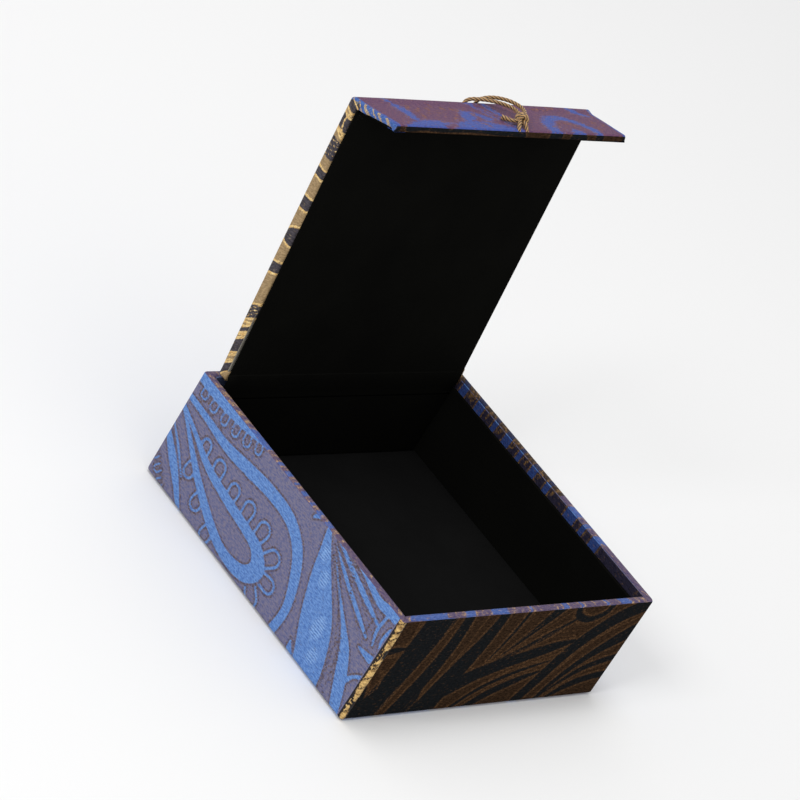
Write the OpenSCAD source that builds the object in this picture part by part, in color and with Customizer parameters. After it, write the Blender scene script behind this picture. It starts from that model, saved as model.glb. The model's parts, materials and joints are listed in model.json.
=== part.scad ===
// Brocade covered jewellery box: an open tray of wrapped greyboard and a recessed cover
// of three boards on one cloth. The back leaf is glued inside the back wall, the lid
// turns on the cloth at the rim, and the front flap tucks in behind the front wall.
// The origin is the middle of the tray's underside. +X runs along the front edge to the
// right, +Y to the back, +Z up. Sizes are in millimetres and the lid stands open.

/* [Tray] */
// Width of the tray over its brocade
box_w = 100; // [80:1:130]
// Depth of the tray, front to back
box_d = 98; // [80:1:130]
// Height of the tray
box_h = 36; // [32:1:50]
// Thickness of the greyboard in the walls and the base
board_t = 1.6; // [1.2:0.1:2.4]
// Thickness of the brocade with its paste
cloth_t = 0.4; // [0.3:0.05:0.6]
// Rounding of the brocade over the edges of the boards
edge_r = 0.8; // [0.5:0.1:0.9]
// Rounding of the tray's four upright corners
corner_r = 1; // [0.6:0.1:1.2]
// How far the brocade is turned in over the rim
turn_in = 12; // [8:1:16]
// How far the brocade is turned under the base
turn_under = 10; // [6:1:16]
// How far the bottom sheet stays back from the edge of the base
sheet_inset = 2; // [1:0.5:4]

/* [Lining] */
// Thickness of the card in the side linings
lining_board_t = 0.8; // [0.6:0.1:1]
// Thickness of the black lining cloth
lining_t = 0.3; // [0.2:0.05:0.4]
// How far the front lining stays below the rim, clear of the swinging flap
front_lining_drop = 10; // [9:1:14]

/* [Insert pad] */
// Thickness of the foam in the pad on the floor
foam_t = 5.4; // [3:0.2:7]
// Thickness of the card under the foam
pad_card_t = 1.2; // [0.8:0.1:2]
// Thickness of the velvet round the pad
velvet_t = 0.4; // [0.3:0.05:0.8]
// Rounding of the pad's upper edges
pad_edge_r = 1.6; // [1:0.1:2.4]
// Gap between the pad and the linings
pad_play = 0.3; // [0.2:0.1:0.8]
// Width of the velvet turned under the pad
pad_margin = 10; // [6:1:16]

/* [Cover] */
// Gap at each side between the lid and the tray's walls
lid_play = 0.6; // [0.4:0.1:0.9]
// Thickness of the lid's board
lid_board_t = 1.8; // [1.4:0.1:2.4]
// Thickness of the lid's wadding at its edge
wadding_t = 0.8; // [0.4:0.1:1.4]
// Rise of the padded lid from its edge to its middle
crown = 0.8; // [0.4:0.1:1.6]
// Rounding of the lid's corners
lid_corner_r = 1; // [0.6:0.1:1.4]
// Width of the brocade turned in on the inside of the lid
lid_margin = 12; // [8:1:20]
// Thickness of the board in the back leaf
leaf_board_t = 2.4; // [1.6:0.1:3]
// Gap between the hinge crease and the end of the lid
hinge_gap = 0.65; // [0.5:0.05:0.9]
// Height of the lid's outer face over the hinge crease
lid_rise = 0.3; // [0.2:0.05:0.5]
// Gap between the closed lid and the ledge of the side linings
seat_play = 0.3; // [0.2:0.05:0.6]
// Opening angle of the lid from closed
lid_open = 96; // [90:1:100]

/* [Flap] */
// Depth of the flap from the fold to its free edge
flap_depth = 17.9; // [14:0.1:20]
// Thickness of the flap's board
flap_board_t = 1.3; // [1:0.1:1.8]
// How much narrower the flap is at each side at its free edge
flap_taper = 0.6; // [0.2:0.1:1.5]
// Gap at each side between the flap and the side linings
flap_play = 0.3; // [0.2:0.1:0.8]
// Gap between the lid and the top of the flap
fold_gap = 0.5; // [0.4:0.1:0.8]
// Angle between the inner faces of lid and flap
flap_open = 98.4; // [92:0.1:99]
// Gap between the swinging flap and the inside of the front wall
sweep_play = 0.2; // [0.15:0.05:1]

/* [Pull loop] */
// Diameter of the twisted cord
cord_d = 1.1; // [0.8:0.1:1.4]
// Radius of the knot's turns round the two strands
knot_r = 1.3; // [1.1:0.1:1.6]

/* [Hidden] */

// Sides that a full circle is drawn with
$fn = 48;
// Straight steps that make up the very low arch over the padded lid
arch_steps = 10;
// Cuts run past the faces they open by this much
over = 1;

// Tray, from the outside in
wall_t = board_t + 2 * cloth_t;
rim_r = min(edge_r, 0.45 * wall_t);
sheet_t = cloth_t;
board_z = sheet_t + cloth_t;
floor_z = board_z + board_t;
wall_top = box_h - cloth_t;
inner_x = box_w / 2 - wall_t;
inner_y = box_d / 2 - wall_t;

// Cover, from its outer face to its lining
lid_t = cloth_t + wadding_t + lid_board_t + cloth_t + lining_t;
flap_t = cloth_t + flap_board_t + cloth_t + lining_t;
leaf_t = cloth_t + leaf_board_t + lining_t;
lid_w = 2 * (inner_x - lid_play);
hinge_y = inner_y;
hinge_z = box_h;
leaf_face_y = inner_y - leaf_t;

// The ledge that the closed lid rests on is the top of the linings and the back leaf
ledge_z = hinge_z + lid_rise - lid_t - seat_play;
lining_x = inner_x - lining_board_t - lining_t;

// The lid is as long as the arc of the flap's free edge allows inside the front wall
flap_tilt = flap_open - 90;
flap_len = flap_depth - lid_t;
flap_out = flap_t * cos(flap_tilt) + flap_len * sin(flap_tilt) - flap_t;
flap_down = lid_t - lid_rise + flap_len * cos(flap_tilt) - flap_t * sin(flap_tilt);
sweep_r = 2 * inner_y - sweep_play;
lid_len = sqrt(sweep_r * sweep_r - flap_down * flap_down) - flap_out - hinge_gap;
flap_half_w = lining_x - flap_play;

// Pad on the floor, between the linings
pad_t = velvet_t + foam_t + pad_card_t + velvet_t;
pad_half_w = lining_x - pad_play;
pad_front_y = -inner_y + lining_t + pad_play;
pad_back_y = leaf_face_y - pad_play;

// Pull loop, as points on the flap: across it to the right, from the fold towards the
// free edge, and height off its outer face
loop_route = [
    [5.0, 17.5, -0.5], [4.9, 17.1, 0.3], [4.8, 16.5, 1.1], [4.9, 15.6, 1.7],
    [5.6, 14.5, 2.0], [6.9, 13.3, 2.2], [8.4, 11.9, 2.4], [9.6, 10.2, 2.7],
    [10.1, 8.4, 2.9], [9.9, 6.6, 3.0], [9.0, 5.1, 3.1], [7.6, 3.8, 3.1],
    [6.0, 2.6, 2.9], [4.5, 1.6, 2.5], [3.3, 0.6, 1.8], [2.7, -0.4, 0.8],
    [2.6, -1.0, -0.6], [2.4, -1.1, -2.2], [1.6, -1.1, -3.7], [0.2, -1.1, -4.3],
    [-1.2, -1.1, -3.6], [-1.9, -1.1, -2.2], [-1.8, -1.1, -0.7], [-1.2, -0.7, 0.5],
    [-0.2, 0.3, 1.3], [1.1, 1.6, 1.8], [2.5, 3.0, 2.2], [4.1, 4.3, 2.4],
    [5.8, 5.5, 2.4], [7.3, 6.8, 2.3], [8.1, 8.3, 2.1], [7.9, 9.9, 1.9],
    [7.0, 11.4, 1.8], [5.6, 12.9, 1.8], [4.4, 14.2, 1.8], [3.3, 15.4, 1.6],
    [2.4, 16.4, 1.1], [1.9, 17.1, 0.3], [1.8, 17.5, -0.5]
];
// The knot's short tail, and the middle and direction of the knot's turns
tail_route = [
    [4.4, 14.6, 1.9], [3.2, 14.3, 1.4], [2.2, 13.7, 1.1], [1.6, 12.9, 1.0],
    [1.3, 11.9, 0.9], [0.7, 11.0, 0.9]
];
knot_at = [5.0, 14.35, 2.0];
knot_turn = 42;
cord_sides = 8;

// Flat shapes and solids with eased edges

// A rectangle from the origin with its four corners rounded
module eased_rect(w, h, r) {
    translate([r, 0]) square([w - 2 * r, h]);
    translate([0, r]) square([w, h - 2 * r]);
    for (x = [r, w - r], y = [r, h - r])
        translate([x, y]) circle(r);
}

// The tray's outline in plan, drawn in by a distance
module tray_plan(inset) {
    w = box_w - 2 * inset;
    d = box_d - 2 * inset;
    translate([-w / 2, -d / 2]) eased_rect(w, d, corner_r - inset / 2);
}

// A low parabolic arch over a chord, filled down to a depth below it
module arch(chord, depth, rise) {
    half = chord / 2;
    curve = [
        for (i = [0:arch_steps])
            let (x = half * (1 - 2 * i / arch_steps))
                [x, rise * (1 - pow(x / half, 2))]
    ];
    polygon(concat([[-half, -depth], [half, -depth]], curve));
}

// A padded block from the origin to the front, arched both ways over Z = 0
module crowned_block(w, l, depth, rise) {
    intersection() {
        rotate([90, 0, 0]) linear_extrude(l) arch(w, depth, rise);
        translate([-w / 2, -l / 2, 0]) rotate([90, 0, 90])
            linear_extrude(w) arch(l, depth, rise);
    }
}

// A flat slab with eased edges and corners, from the origin to the front, under Z = 0
module eased_slab(w, l, t, r, plan_r) {
    intersection() {
        translate([-w / 2, 0, -t]) rotate([90, 0, 0]) linear_extrude(l) eased_rect(w, t, r);
        translate([-w / 2, -l, -t]) rotate([90, 0, 90])
            linear_extrude(w) eased_rect(l, t, r);
        translate([-w / 2, -l, -t]) linear_extrude(t) eased_rect(w, l, plan_r);
    }
}

// A block centred on X
module block(w, y, z) {
    translate([-w / 2, y[0], z[0]]) cube([w, y[1] - y[0], z[1] - z[0]]);
}

// Puts a wall's section on all four sides, mitred at the corners
module each_wall(reach) {
    for (k = [0:3]) {
        len = k % 2 == 0 ? box_w : box_d;
        far = k % 2 == 0 ? box_d / 2 : box_w / 2;
        rotate(90 * k) translate([-len / 2, -far, 0]) intersection() {
            rotate([90, 0, 90]) linear_extrude(len) children();
            linear_extrude(box_h)
                polygon([[0, 0], [len, 0], [len - reach, reach], [reach, reach]]);
        }
    }
}

// The brocade over one wall: up the outside, over the rim and down the inside, and
// turned under the base
module wrap_section() {
    difference() {
        translate([0, sheet_t]) eased_rect(wall_t, box_h - sheet_t, rim_r);
        translate([cloth_t, board_z]) square([board_t, wall_top - board_z]);
        translate([wall_t - cloth_t, sheet_t - over])
            square([cloth_t + over, box_h - turn_in - sheet_t + over]);
    }
    translate([rim_r, sheet_t]) square([turn_under, cloth_t]);
}

// Places things drawn for the closed lid, whose crease is the origin, on the open lid
module on_lid() {
    translate([0, hinge_y, hinge_z]) rotate([-lid_open, 0, 0]) children();
}

// Places things drawn for a flap at right angles to the lid, from its inner fold
module on_flap() {
    on_lid()
        translate([0, flap_t - hinge_gap - lid_len, lid_rise - lid_t])
            rotate([-flap_tilt, 0, 0]) children();
}

// A block the flap's shape in plan: full width at the fold and drawn in at the edge
module flap_plate(y, inset, top, bottom) {
    half = flap_half_w - inset;
    low = half - flap_taper;
    translate([0, y[1], 0]) rotate([90, 0, 0]) linear_extrude(y[1] - y[0])
        polygon([[-half, -top], [half, -top], [low, -bottom], [-low, -bottom]]);
}

// A point of the loop's route in the flap's own axes
function loop_point(p) = [p[0], -flap_t - p[2], lid_t - p[1]];

// Unit vector
function unit(v) = v / norm(v);

// Direction of a route at one of its points
function along(route, i) =
    unit(route[min(i + 1, len(route) - 1)] - route[max(i - 1, 0)]);

// Sideways directions carried along a route without twist
function sideways(route, i) =
    i == 0
        ? unit(cross(along(route, 0), [1, 0, 0]))
        : let (before = sideways(route, i - 1), t = along(route, i))
            unit(before - (before * t) * t);

// Points of the rings round a route
function cord_rings(route, r) = [
    for (i = [0:len(route) - 1])
        let (s = sideways(route, i), n = cross(along(route, i), s))
            for (k = [0:cord_sides - 1])
                let (a = 360 * k / cord_sides)
                    route[i] + r * (cos(a) * s + sin(a) * n)
];

// A round cord swept along a route
module cord(route, d) {
    last = cord_sides * (len(route) - 1);
    sides = [
        for (i = [0:len(route) - 2], k = [0:cord_sides - 1])
            let (
                a = cord_sides * i + k,
                b = cord_sides * i + (k + 1) % cord_sides
            )
                each [[a, b + cord_sides, b], [a, a + cord_sides, b + cord_sides]]
    ];
    ends = [
        for (k = [1:cord_sides - 2])
            each [[0, k, k + 1], [last, last + k + 1, last + k]]
    ];
    polyhedron(cord_rings(route, d / 2), concat(sides, ends));
}

// Tray boards

module base_board() {
    color("tan") block(
        box_w - 2 * (cloth_t + board_t),
        [-inner_y - cloth_t, inner_y + cloth_t],
        [board_z, floor_z]
    );
}

// A wall board that runs the full width, trimmed to the rounded corners
module long_board(side) {
    intersection() {
        translate([0, side * (box_d - 2 * cloth_t - board_t) / 2, 0])
            block(box_w, [-board_t / 2, board_t / 2], [board_z, wall_top]);
        linear_extrude(box_h) tray_plan(cloth_t);
    }
}

// A wall board between the front and the back boards
module short_board(side) {
    translate([side * (box_w - 2 * cloth_t - board_t) / 2, 0, 0])
        block(board_t, [-inner_y - cloth_t, inner_y + cloth_t], [board_z, wall_top]);
}

module front_board() { color("tan") long_board(-1); }

module back_board() { color("tan") long_board(1); }

module left_board() { color("tan") short_board(-1); }

module right_board() { color("tan") short_board(1); }

// Tray coverings

module wall_brocade() {
    color("slateblue") intersection() {
        each_wall(rim_r + turn_under + over) wrap_section();
        linear_extrude(box_h) tray_plan(0);
    }
}

module base_sheet() {
    hole_x = box_w / 2 - rim_r - turn_under;
    hole_y = box_d / 2 - rim_r - turn_under;
    color("midnightblue") {
        block(
            box_w - 2 * sheet_inset,
            [-box_d / 2 + sheet_inset, box_d / 2 - sheet_inset],
            [0, sheet_t]
        );
        block(2 * hole_x, [-hole_y, hole_y], [0, board_z]);
    }
}

// Linings

module front_lining() {
    color("black") block(
        2 * inner_x,
        [-inner_y, -inner_y + lining_t],
        [floor_z, box_h - front_lining_drop]
    );
}

// The card of a side lining stands on the floor against the wall
module side_card(side) {
    translate([side * (inner_x - lining_board_t / 2), 0, 0]) block(
        lining_board_t,
        [-inner_y + lining_t, leaf_face_y],
        [floor_z, ledge_z - lining_t]
    );
}

// The black cloth covers the card's face and its top, which is the lid's ledge
module side_cloth(side) {
    y = [-inner_y + lining_t, leaf_face_y];
    wide = lining_board_t + lining_t;
    translate([side * (lining_x + lining_t / 2), 0, 0])
        block(lining_t, y, [floor_z, ledge_z]);
    translate([side * (lining_x + wide / 2), 0, 0])
        block(wide, y, [ledge_z - lining_t, ledge_z]);
}

module left_lining_card() { color("dimgray") side_card(-1); }

module left_lining_cloth() { color("black") side_cloth(-1); }

module right_lining_card() { color("dimgray") side_card(1); }

module right_lining_cloth() { color("black") side_cloth(1); }

// Insert pad

module pad_card() {
    color("dimgray") block(
        2 * (pad_half_w - velvet_t),
        [pad_front_y + velvet_t, pad_back_y - velvet_t],
        [floor_z + velvet_t, floor_z + velvet_t + pad_card_t]
    );
}

// The pad's outline in plan and the rounding of its upper edges, drawn in by a distance
module pad_form(inset, bottom) {
    w = 2 * (pad_half_w - inset);
    d = pad_back_y - pad_front_y - 2 * inset;
    h = floor_z + pad_t - inset - bottom;
    r = pad_edge_r - inset;
    mid = (pad_front_y + pad_back_y) / 2;
    intersection() {
        translate([-w / 2, mid + d / 2, bottom]) rotate([90, 0, 0])
            linear_extrude(d) eased_top(w, h, r);
        translate([-w / 2, mid - d / 2, bottom]) rotate([90, 0, 90])
            linear_extrude(w) eased_top(d, h, r);
    }
}

// A rectangle from the origin with only its upper corners rounded
module eased_top(w, h, r) {
    square([w, h - r]);
    translate([r, 0]) square([w - 2 * r, h]);
    for (x = [r, w - r])
        translate([x, h - r]) circle(r);
}

module pad_foam() {
    color("gray") pad_form(velvet_t, floor_z + velvet_t + pad_card_t);
}

module pad_velvet() {
    w = 2 * (pad_half_w - pad_margin);
    y = [pad_front_y + pad_margin, pad_back_y - pad_margin];
    color("black") difference() {
        pad_form(0, floor_z);
        pad_form(velvet_t, floor_z + velvet_t);
        block(w, y, [floor_z - over, floor_z + velvet_t + over]);
    }
}

// Back leaf, glued inside the back wall

module back_leaf_board() {
    color("tan") block(
        2 * (inner_x - lid_play),
        [inner_y - cloth_t - leaf_board_t, inner_y - cloth_t],
        [floor_z, ledge_z - lining_t]
    );
}

// The brocade runs up behind the leaf to the crease at the rim, where the lid turns
module back_leaf_brocade() {
    color("slateblue") block(
        lid_w,
        [inner_y - cloth_t, inner_y],
        [floor_z, hinge_z - lid_rise]
    );
}

module back_leaf_lining() {
    color("black") {
        block(lid_w, [leaf_face_y, leaf_face_y + lining_t], [floor_z, ledge_z]);
        block(
            lid_w,
            [leaf_face_y, inner_y - cloth_t],
            [ledge_z - lining_t, ledge_z]
        );
    }
}

// Lid

// The wadding has the lid's crown, and fills the brocade over the board
module wadding_form() {
    translate([0, -hinge_gap - cloth_t, lid_rise - cloth_t]) crowned_block(
        lid_w - 2 * cloth_t,
        lid_len - 2 * cloth_t,
        wadding_t,
        crown
    );
}

// A flat layer inside the lid, by how far it is drawn in and its depth below the face
module lid_layer(inset, top, bottom) {
    block(
        lid_w - 2 * inset,
        [-hinge_gap - lid_len + inset, -hinge_gap - inset],
        [lid_rise - bottom, lid_rise - top]
    );
}

module lid_wadding() {
    color("white") on_lid() wadding_form();
}

module lid_board() {
    top = cloth_t + wadding_t;
    color("tan") on_lid() lid_layer(cloth_t, top, top + lid_board_t);
}

module lid_brocade() {
    inside = lid_t - lining_t;
    color("slateblue") on_lid() difference() {
        union() {
            translate([0, -hinge_gap, lid_rise])
                eased_slab(lid_w, lid_len, inside, edge_r, lid_corner_r);
            translate([0, -hinge_gap - edge_r, lid_rise]) crowned_block(
                lid_w - 2 * edge_r,
                lid_len - 2 * edge_r,
                cloth_t / 2,
                crown
            );
        }
        wadding_form();
        lid_layer(cloth_t, cloth_t + wadding_t / 2, inside - cloth_t);
        lid_layer(lid_margin, inside - cloth_t - wadding_t / 2, inside + over);
    }
}

module lid_lining() {
    color("black") on_lid() {
        lid_layer(edge_r, lid_t - lining_t, lid_t);
        lid_layer(lid_margin, lid_t - lining_t - cloth_t, lid_t);
    }
}

// Flap

module flap_board() {
    color("tan") on_flap() flap_plate(
        [-flap_t + cloth_t, -lining_t - cloth_t],
        cloth_t,
        fold_gap,
        flap_len - cloth_t
    );
}

// The brocade covers the outer face, the two ends and the free edge of the flap
module flap_brocade() {
    color("slateblue") on_flap() difference() {
        intersection() {
            flap_plate([-flap_t, -lining_t], 0, fold_gap, flap_len);
            rotate([90, 0, 90]) translate([0, 0, -box_w / 2]) linear_extrude(box_w)
                translate([-flap_t, -flap_len])
                    eased_rect(flap_t + edge_r, flap_len + edge_r, edge_r);
        }
        flap_plate(
            [-flap_t + cloth_t, -lining_t - cloth_t],
            cloth_t,
            fold_gap - over,
            flap_len - cloth_t
        );
    }
}

module flap_lining() {
    color("black") on_flap()
        flap_plate([-lining_t, 0], edge_r, fold_gap, flap_len - edge_r);
}

// Pull loop

// The doubled cord comes out of the flap, passes the knot and hooks over the fold
module pull_loop() {
    route = [for (p = loop_route) loop_point(p)];
    color("goldenrod") on_flap() cord(route, cord_d);
}

// Two turns of cord tie the strands together, and the end is left as a short tail
module loop_knot() {
    route = [for (p = tail_route) loop_point(p)];
    color("goldenrod") on_flap() {
        cord(route, cord_d);
        translate(loop_point(knot_at)) rotate([0, knot_turn, 0])
            for (side = [-1, 1])
                translate([0, 0, side * cord_d * 0.45])
                    rotate_extrude() translate([knot_r, 0]) circle(cord_d / 2, $fn = 16);
    }
}

base_board();
front_board();
back_board();
left_board();
right_board();
wall_brocade();
base_sheet();
front_lining();
left_lining_card();
left_lining_cloth();
right_lining_card();
right_lining_cloth();
pad_card();
pad_foam();
pad_velvet();
back_leaf_board();
back_leaf_brocade();
back_leaf_lining();
lid_board();
lid_wadding();
lid_brocade();
lid_lining();
flap_board();
flap_brocade();
flap_lining();
pull_loop();
loop_knot();
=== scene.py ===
"""Looks of a brocade covered keepsake box: a tray of wrapped greyboard, a padded lid that sits
inside its rim, a flap that tucks in behind the front wall, and a twisted gold pull loop.

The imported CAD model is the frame. Each cloth is wrapped round it the way a box maker does it:
a flat sheet is cut, the pattern is drawn on it, and it is folded over the boards. Lengths here
are in millimetres, in the CAD's frame, until a mesh is finished, and then in metres.
"""

import json
import logging
import math
from collections.abc import Callable, Sequence
from dataclasses import dataclass, field
from enum import Enum
from functools import partial

import bmesh
import bpy
import numpy as np
from mathutils import Matrix, Vector, noise


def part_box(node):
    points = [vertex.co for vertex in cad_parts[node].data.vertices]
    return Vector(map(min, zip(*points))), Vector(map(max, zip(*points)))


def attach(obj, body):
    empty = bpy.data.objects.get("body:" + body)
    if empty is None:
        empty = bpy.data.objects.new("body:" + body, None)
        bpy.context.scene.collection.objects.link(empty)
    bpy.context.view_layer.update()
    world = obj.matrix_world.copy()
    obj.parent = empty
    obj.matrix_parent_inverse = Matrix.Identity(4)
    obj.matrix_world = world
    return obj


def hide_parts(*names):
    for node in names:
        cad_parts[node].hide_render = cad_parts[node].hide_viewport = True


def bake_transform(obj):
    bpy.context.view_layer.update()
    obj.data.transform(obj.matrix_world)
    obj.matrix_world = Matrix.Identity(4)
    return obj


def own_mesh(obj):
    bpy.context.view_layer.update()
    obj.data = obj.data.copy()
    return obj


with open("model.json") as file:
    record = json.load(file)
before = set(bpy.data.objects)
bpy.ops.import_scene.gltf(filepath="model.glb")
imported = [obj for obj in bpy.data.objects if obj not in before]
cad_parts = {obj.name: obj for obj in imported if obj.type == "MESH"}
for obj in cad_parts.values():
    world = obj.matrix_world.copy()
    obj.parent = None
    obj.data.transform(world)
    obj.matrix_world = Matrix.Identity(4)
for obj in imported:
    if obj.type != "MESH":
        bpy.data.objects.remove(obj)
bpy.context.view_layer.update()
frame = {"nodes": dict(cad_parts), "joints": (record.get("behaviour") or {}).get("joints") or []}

log = logging.getLogger("brocade_box")

MM = 0.001
# A distance outside every figure and outline, for bare ground.
BARE = 9.0
Array = np.ndarray
Point2 = tuple[float, float]
Point3 = tuple[float, float, float]
Node = bpy.types.Node
AddNode = Callable[..., Node]
Mesh = bpy.types.Mesh
Object = bpy.types.Object


def srgb(code: str) -> tuple[float, float, float, float]:
    """Turns an sRGB hex colour into linear RGBA.

    Args:
        code: Six hex digits.

    Returns:
        Linear red, green and blue, with full alpha.
    """
    parts = [int(code[i : i + 2], 16) / 255 for i in (0, 2, 4)]
    linear = [c / 12.92 if c <= 0.04045 else ((c + 0.055) / 1.055) ** 2.4 for c in parts]
    return (linear[0], linear[1], linear[2], 1.0)


def node_box(name: str) -> tuple[Vector, Vector]:
    """Gives a CAD node's lowest and highest corners in millimetres."""
    low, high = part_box(name)
    return low / MM, high / MM


def smooth_step(x: Array) -> Array:
    """Eases values from 0 to 1, clipped at both ends."""
    t = np.clip(x, 0, 1)
    return t * t * (3 - 2 * t)


def bell(x: Array) -> Array:
    """Gives a bell curve that is 1 at zero and fades on both sides."""
    return np.exp(-(x**2))


def quarter(radius: float) -> float:
    """Gives the length of cloth round a quarter turn."""
    return radius * math.pi / 2


def run_along(line: Array) -> Array:
    """Gives each point's distance along a line of points."""
    return np.concatenate([[0.0], np.cumsum(np.linalg.norm(np.diff(line, axis=0), axis=1))])


def add_node(
    tree: bpy.types.NodeTree, kind: str, inputs: dict | None = None, **settings: object
) -> Node:
    """Adds a shader node with its settings, values and links.

    Args:
        tree: The node tree that gets the node.
        kind: Blender's name of the node type.
        inputs: Values, output sockets, or nodes that stand for their first output in use, by
            the name or the place of the input.
        settings: Properties of the node itself.

    Returns:
        The new node.
    """
    node = tree.nodes.new(kind)
    for name, value in settings.items():
        setattr(node, name, value)
    for key, value in (inputs or {}).items():
        if isinstance(value, Node):
            value = next(socket for socket in value.outputs if socket.enabled)
        if isinstance(value, bpy.types.NodeSocket):
            tree.links.new(value, node.inputs[key])
        else:
            node.inputs[key].default_value = value
    return node


MADE: dict[str, bpy.types.Material] = {}


class Finish:
    """A finish that builds its own Blender material once."""

    name: str

    def build(self) -> bpy.types.Material:
        """Gives the material, and makes it on the first call.

        Returns:
            The Blender material of this finish.
        """
        if self.name in MADE:
            return MADE[self.name]
        material = bpy.data.materials.new(self.name)
        MADE[self.name] = material
        material.use_nodes = True
        material.node_tree.nodes.clear()
        add = partial(add_node, material.node_tree)
        shader = add("ShaderNodeBsdfPrincipled", self.dress(add))
        add("ShaderNodeOutputMaterial", {"Surface": shader})
        return material

    def dress(self, add: AddNode) -> dict[str, object]:
        """Adds the finish's own nodes and gives the shader's inputs; each kind has its own."""
        raise NotImplementedError


@dataclass(frozen=True)
class Brocade(Finish):
    """Jacquard woven brocade of matt ground threads and glossy floats.

    Its pattern comes from the cloth's own attributes: each point's place on the flat cloth, how
    far it lies outside the figures and outlines, and where long satin floats lie.
    """

    name: str
    ground: str
    ground_thread: str
    motif: str
    motif_thread: str
    line: str
    line_thread: str
    satin: str = "a4c6ee"
    roughness: float = 0.55
    gloss: float = 0.15
    sheen: float = 0.03
    # How much of the binding threads shows, and of an outline between its stitches.
    speckle: float = 0.4
    stitch_cover: float = 0.3
    # How far a figure's edge wanders, how often, and half the width over which it fades.
    wander_mm: float = 0.2
    wander_per_mm: float = 1.6
    edge_mm: float = 0.1
    flecks_per_mm: float = 1.5
    thread_mm: float = 0.5
    relief: float = 0.6

    def dress(self, add: AddNode) -> dict[str, object]:
        """Mixes ground, motif and outline threads by the woven pattern's attributes.

        Args:
            add: Adds a node to the material.

        Returns:
            The principled shader's inputs.
        """
        cloth, motif, line, floated = (
            add("ShaderNodeAttribute", attribute_name=name)
            for name in ("cloth", "motif", "line", "satin")
        )
        place = cloth.outputs["Vector"]
        # The jacquard steps from thread to thread, so every edge wanders by part of a thread.
        uneven = add(
            "ShaderNodeTexNoise", {"Vector": place, "Scale": self.wander_per_mm, "Detail": 2.0}
        )
        wander = add(
            "ShaderNodeMapRange",
            {"Value": uneven, "From Min": 0.3, "From Max": 0.7,
             "To Min": -self.wander_mm, "To Max": self.wander_mm},
        )
        in_motif = self.inside(add, motif, wander)
        in_line = self.inside(add, line, wander)
        # Outlines are woven as short stitches, a little over half a millimetre each.
        stitch = add("ShaderNodeTexVoronoi", {"Vector": place, "Scale": 1.5, "Randomness": 0.7})
        on_stitch = add(
            "ShaderNodeMapRange",
            {"Value": stitch, "From Min": 0.6, "From Max": 0.35, "To Min": self.stitch_cover},
            interpolation_type="SMOOTHSTEP",
        )
        stitched = add("ShaderNodeMath", {0: in_line, 1: on_stitch}, operation="MULTIPLY")
        # Weft floats lie across the cloth, so the flecks are longer that way. Single threads are
        # 0.1 mm and can't show from here, so the flecks stand for bundles of them.
        along_weft = add(
            "ShaderNodeVectorMath", {0: place, 1: (0.55, 1.5, 1.0)}, operation="MULTIPLY"
        )
        flecks = add(
            "ShaderNodeTexNoise",
            {"Vector": along_weft, "Scale": self.flecks_per_mm, "Detail": 4.0, "Roughness": 0.75},
        )
        fleck = add(
            "ShaderNodeMapRange",
            {"Value": flecks, "From Min": 0.36, "From Max": 0.64},
            interpolation_type="SMOOTHSTEP",
        )
        # The twill's ribs are 0.2 mm apart, and these are drawn 0.5 mm apart so that they show.
        # A wave of scale 1 repeats every 0.314 mm.
        ribs = add(
            "ShaderNodeTexWave",
            {"Vector": place, "Scale": 0.314 / self.thread_mm, "Distortion": 1.2, "Detail": 1.0,
             "Detail Scale": 2.0},
            bands_direction="DIAGONAL",
        )
        ground, floats, outline = (
            add("ShaderNodeMix", {0: fleck, 6: srgb(dull), 7: srgb(bright)}, data_type="RGBA")
            for dull, bright in (
                (self.ground, self.ground_thread),
                (self.motif, self.motif_thread),
                (self.line, self.line_thread),
            )
        )
        figures = add("ShaderNodeMix", {0: in_motif, 6: ground, 7: floats}, data_type="RGBA")
        # Where long satin floats lie on top, they catch the light in short strokes. The real
        # floats are 0.3 mm apart, and these are drawn 0.8 mm apart so that they show.
        strokes = add(
            "ShaderNodeTexWave",
            {"Vector": place, "Scale": 0.4, "Distortion": 2.0, "Detail": 1.0, "Detail Scale": 3.0},
            bands_direction="Y",
        )
        on_stroke = add(
            "ShaderNodeMapRange",
            {"Value": strokes.outputs["Fac"], "From Min": 0.55, "From Max": 0.9, "To Max": 0.55},
            interpolation_type="SMOOTHSTEP",
        )
        shown = add(
            "ShaderNodeMath", {0: floated.outputs["Fac"], 1: on_stroke}, operation="MULTIPLY"
        )
        woven = add("ShaderNodeMix", {0: shown, 6: figures, 7: srgb(self.satin)}, data_type="RGBA")
        # Here and there the binding threads come to the face between the figures. Their noise
        # has four dimensions, so that it isn't the flecks' own.
        binding = add(
            "ShaderNodeTexNoise",
            {"Vector": along_weft, "Scale": 1.1, "Detail": 2.0, "Roughness": 0.6},
            noise_dimensions="4D",
        )
        specks = add(
            "ShaderNodeMapRange",
            {"Value": binding, "From Min": 0.56, "From Max": 0.7, "To Max": self.speckle},
            interpolation_type="SMOOTHSTEP",
        )
        threads = add("ShaderNodeMath", {0: stitched, 1: specks}, operation="MAXIMUM")
        colour = add("ShaderNodeMix", {0: threads, 6: woven, 7: outline}, data_type="RGBA")
        thick = add("ShaderNodeMath", {0: in_motif, 1: fleck}, operation="ADD")
        height = add("ShaderNodeMath", {0: thick, 1: ribs.outputs["Fac"]}, operation="ADD")
        bump = add(
            "ShaderNodeBump", {"Height": height, "Strength": self.relief, "Distance": 0.08 * MM}
        )
        return {
            "Base Color": colour,
            "Normal": bump,
            "Roughness": self.roughness,
            "Specular IOR Level": self.gloss,
            "Sheen Weight": self.sheen,
            "Sheen Roughness": 0.4,
        }

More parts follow.
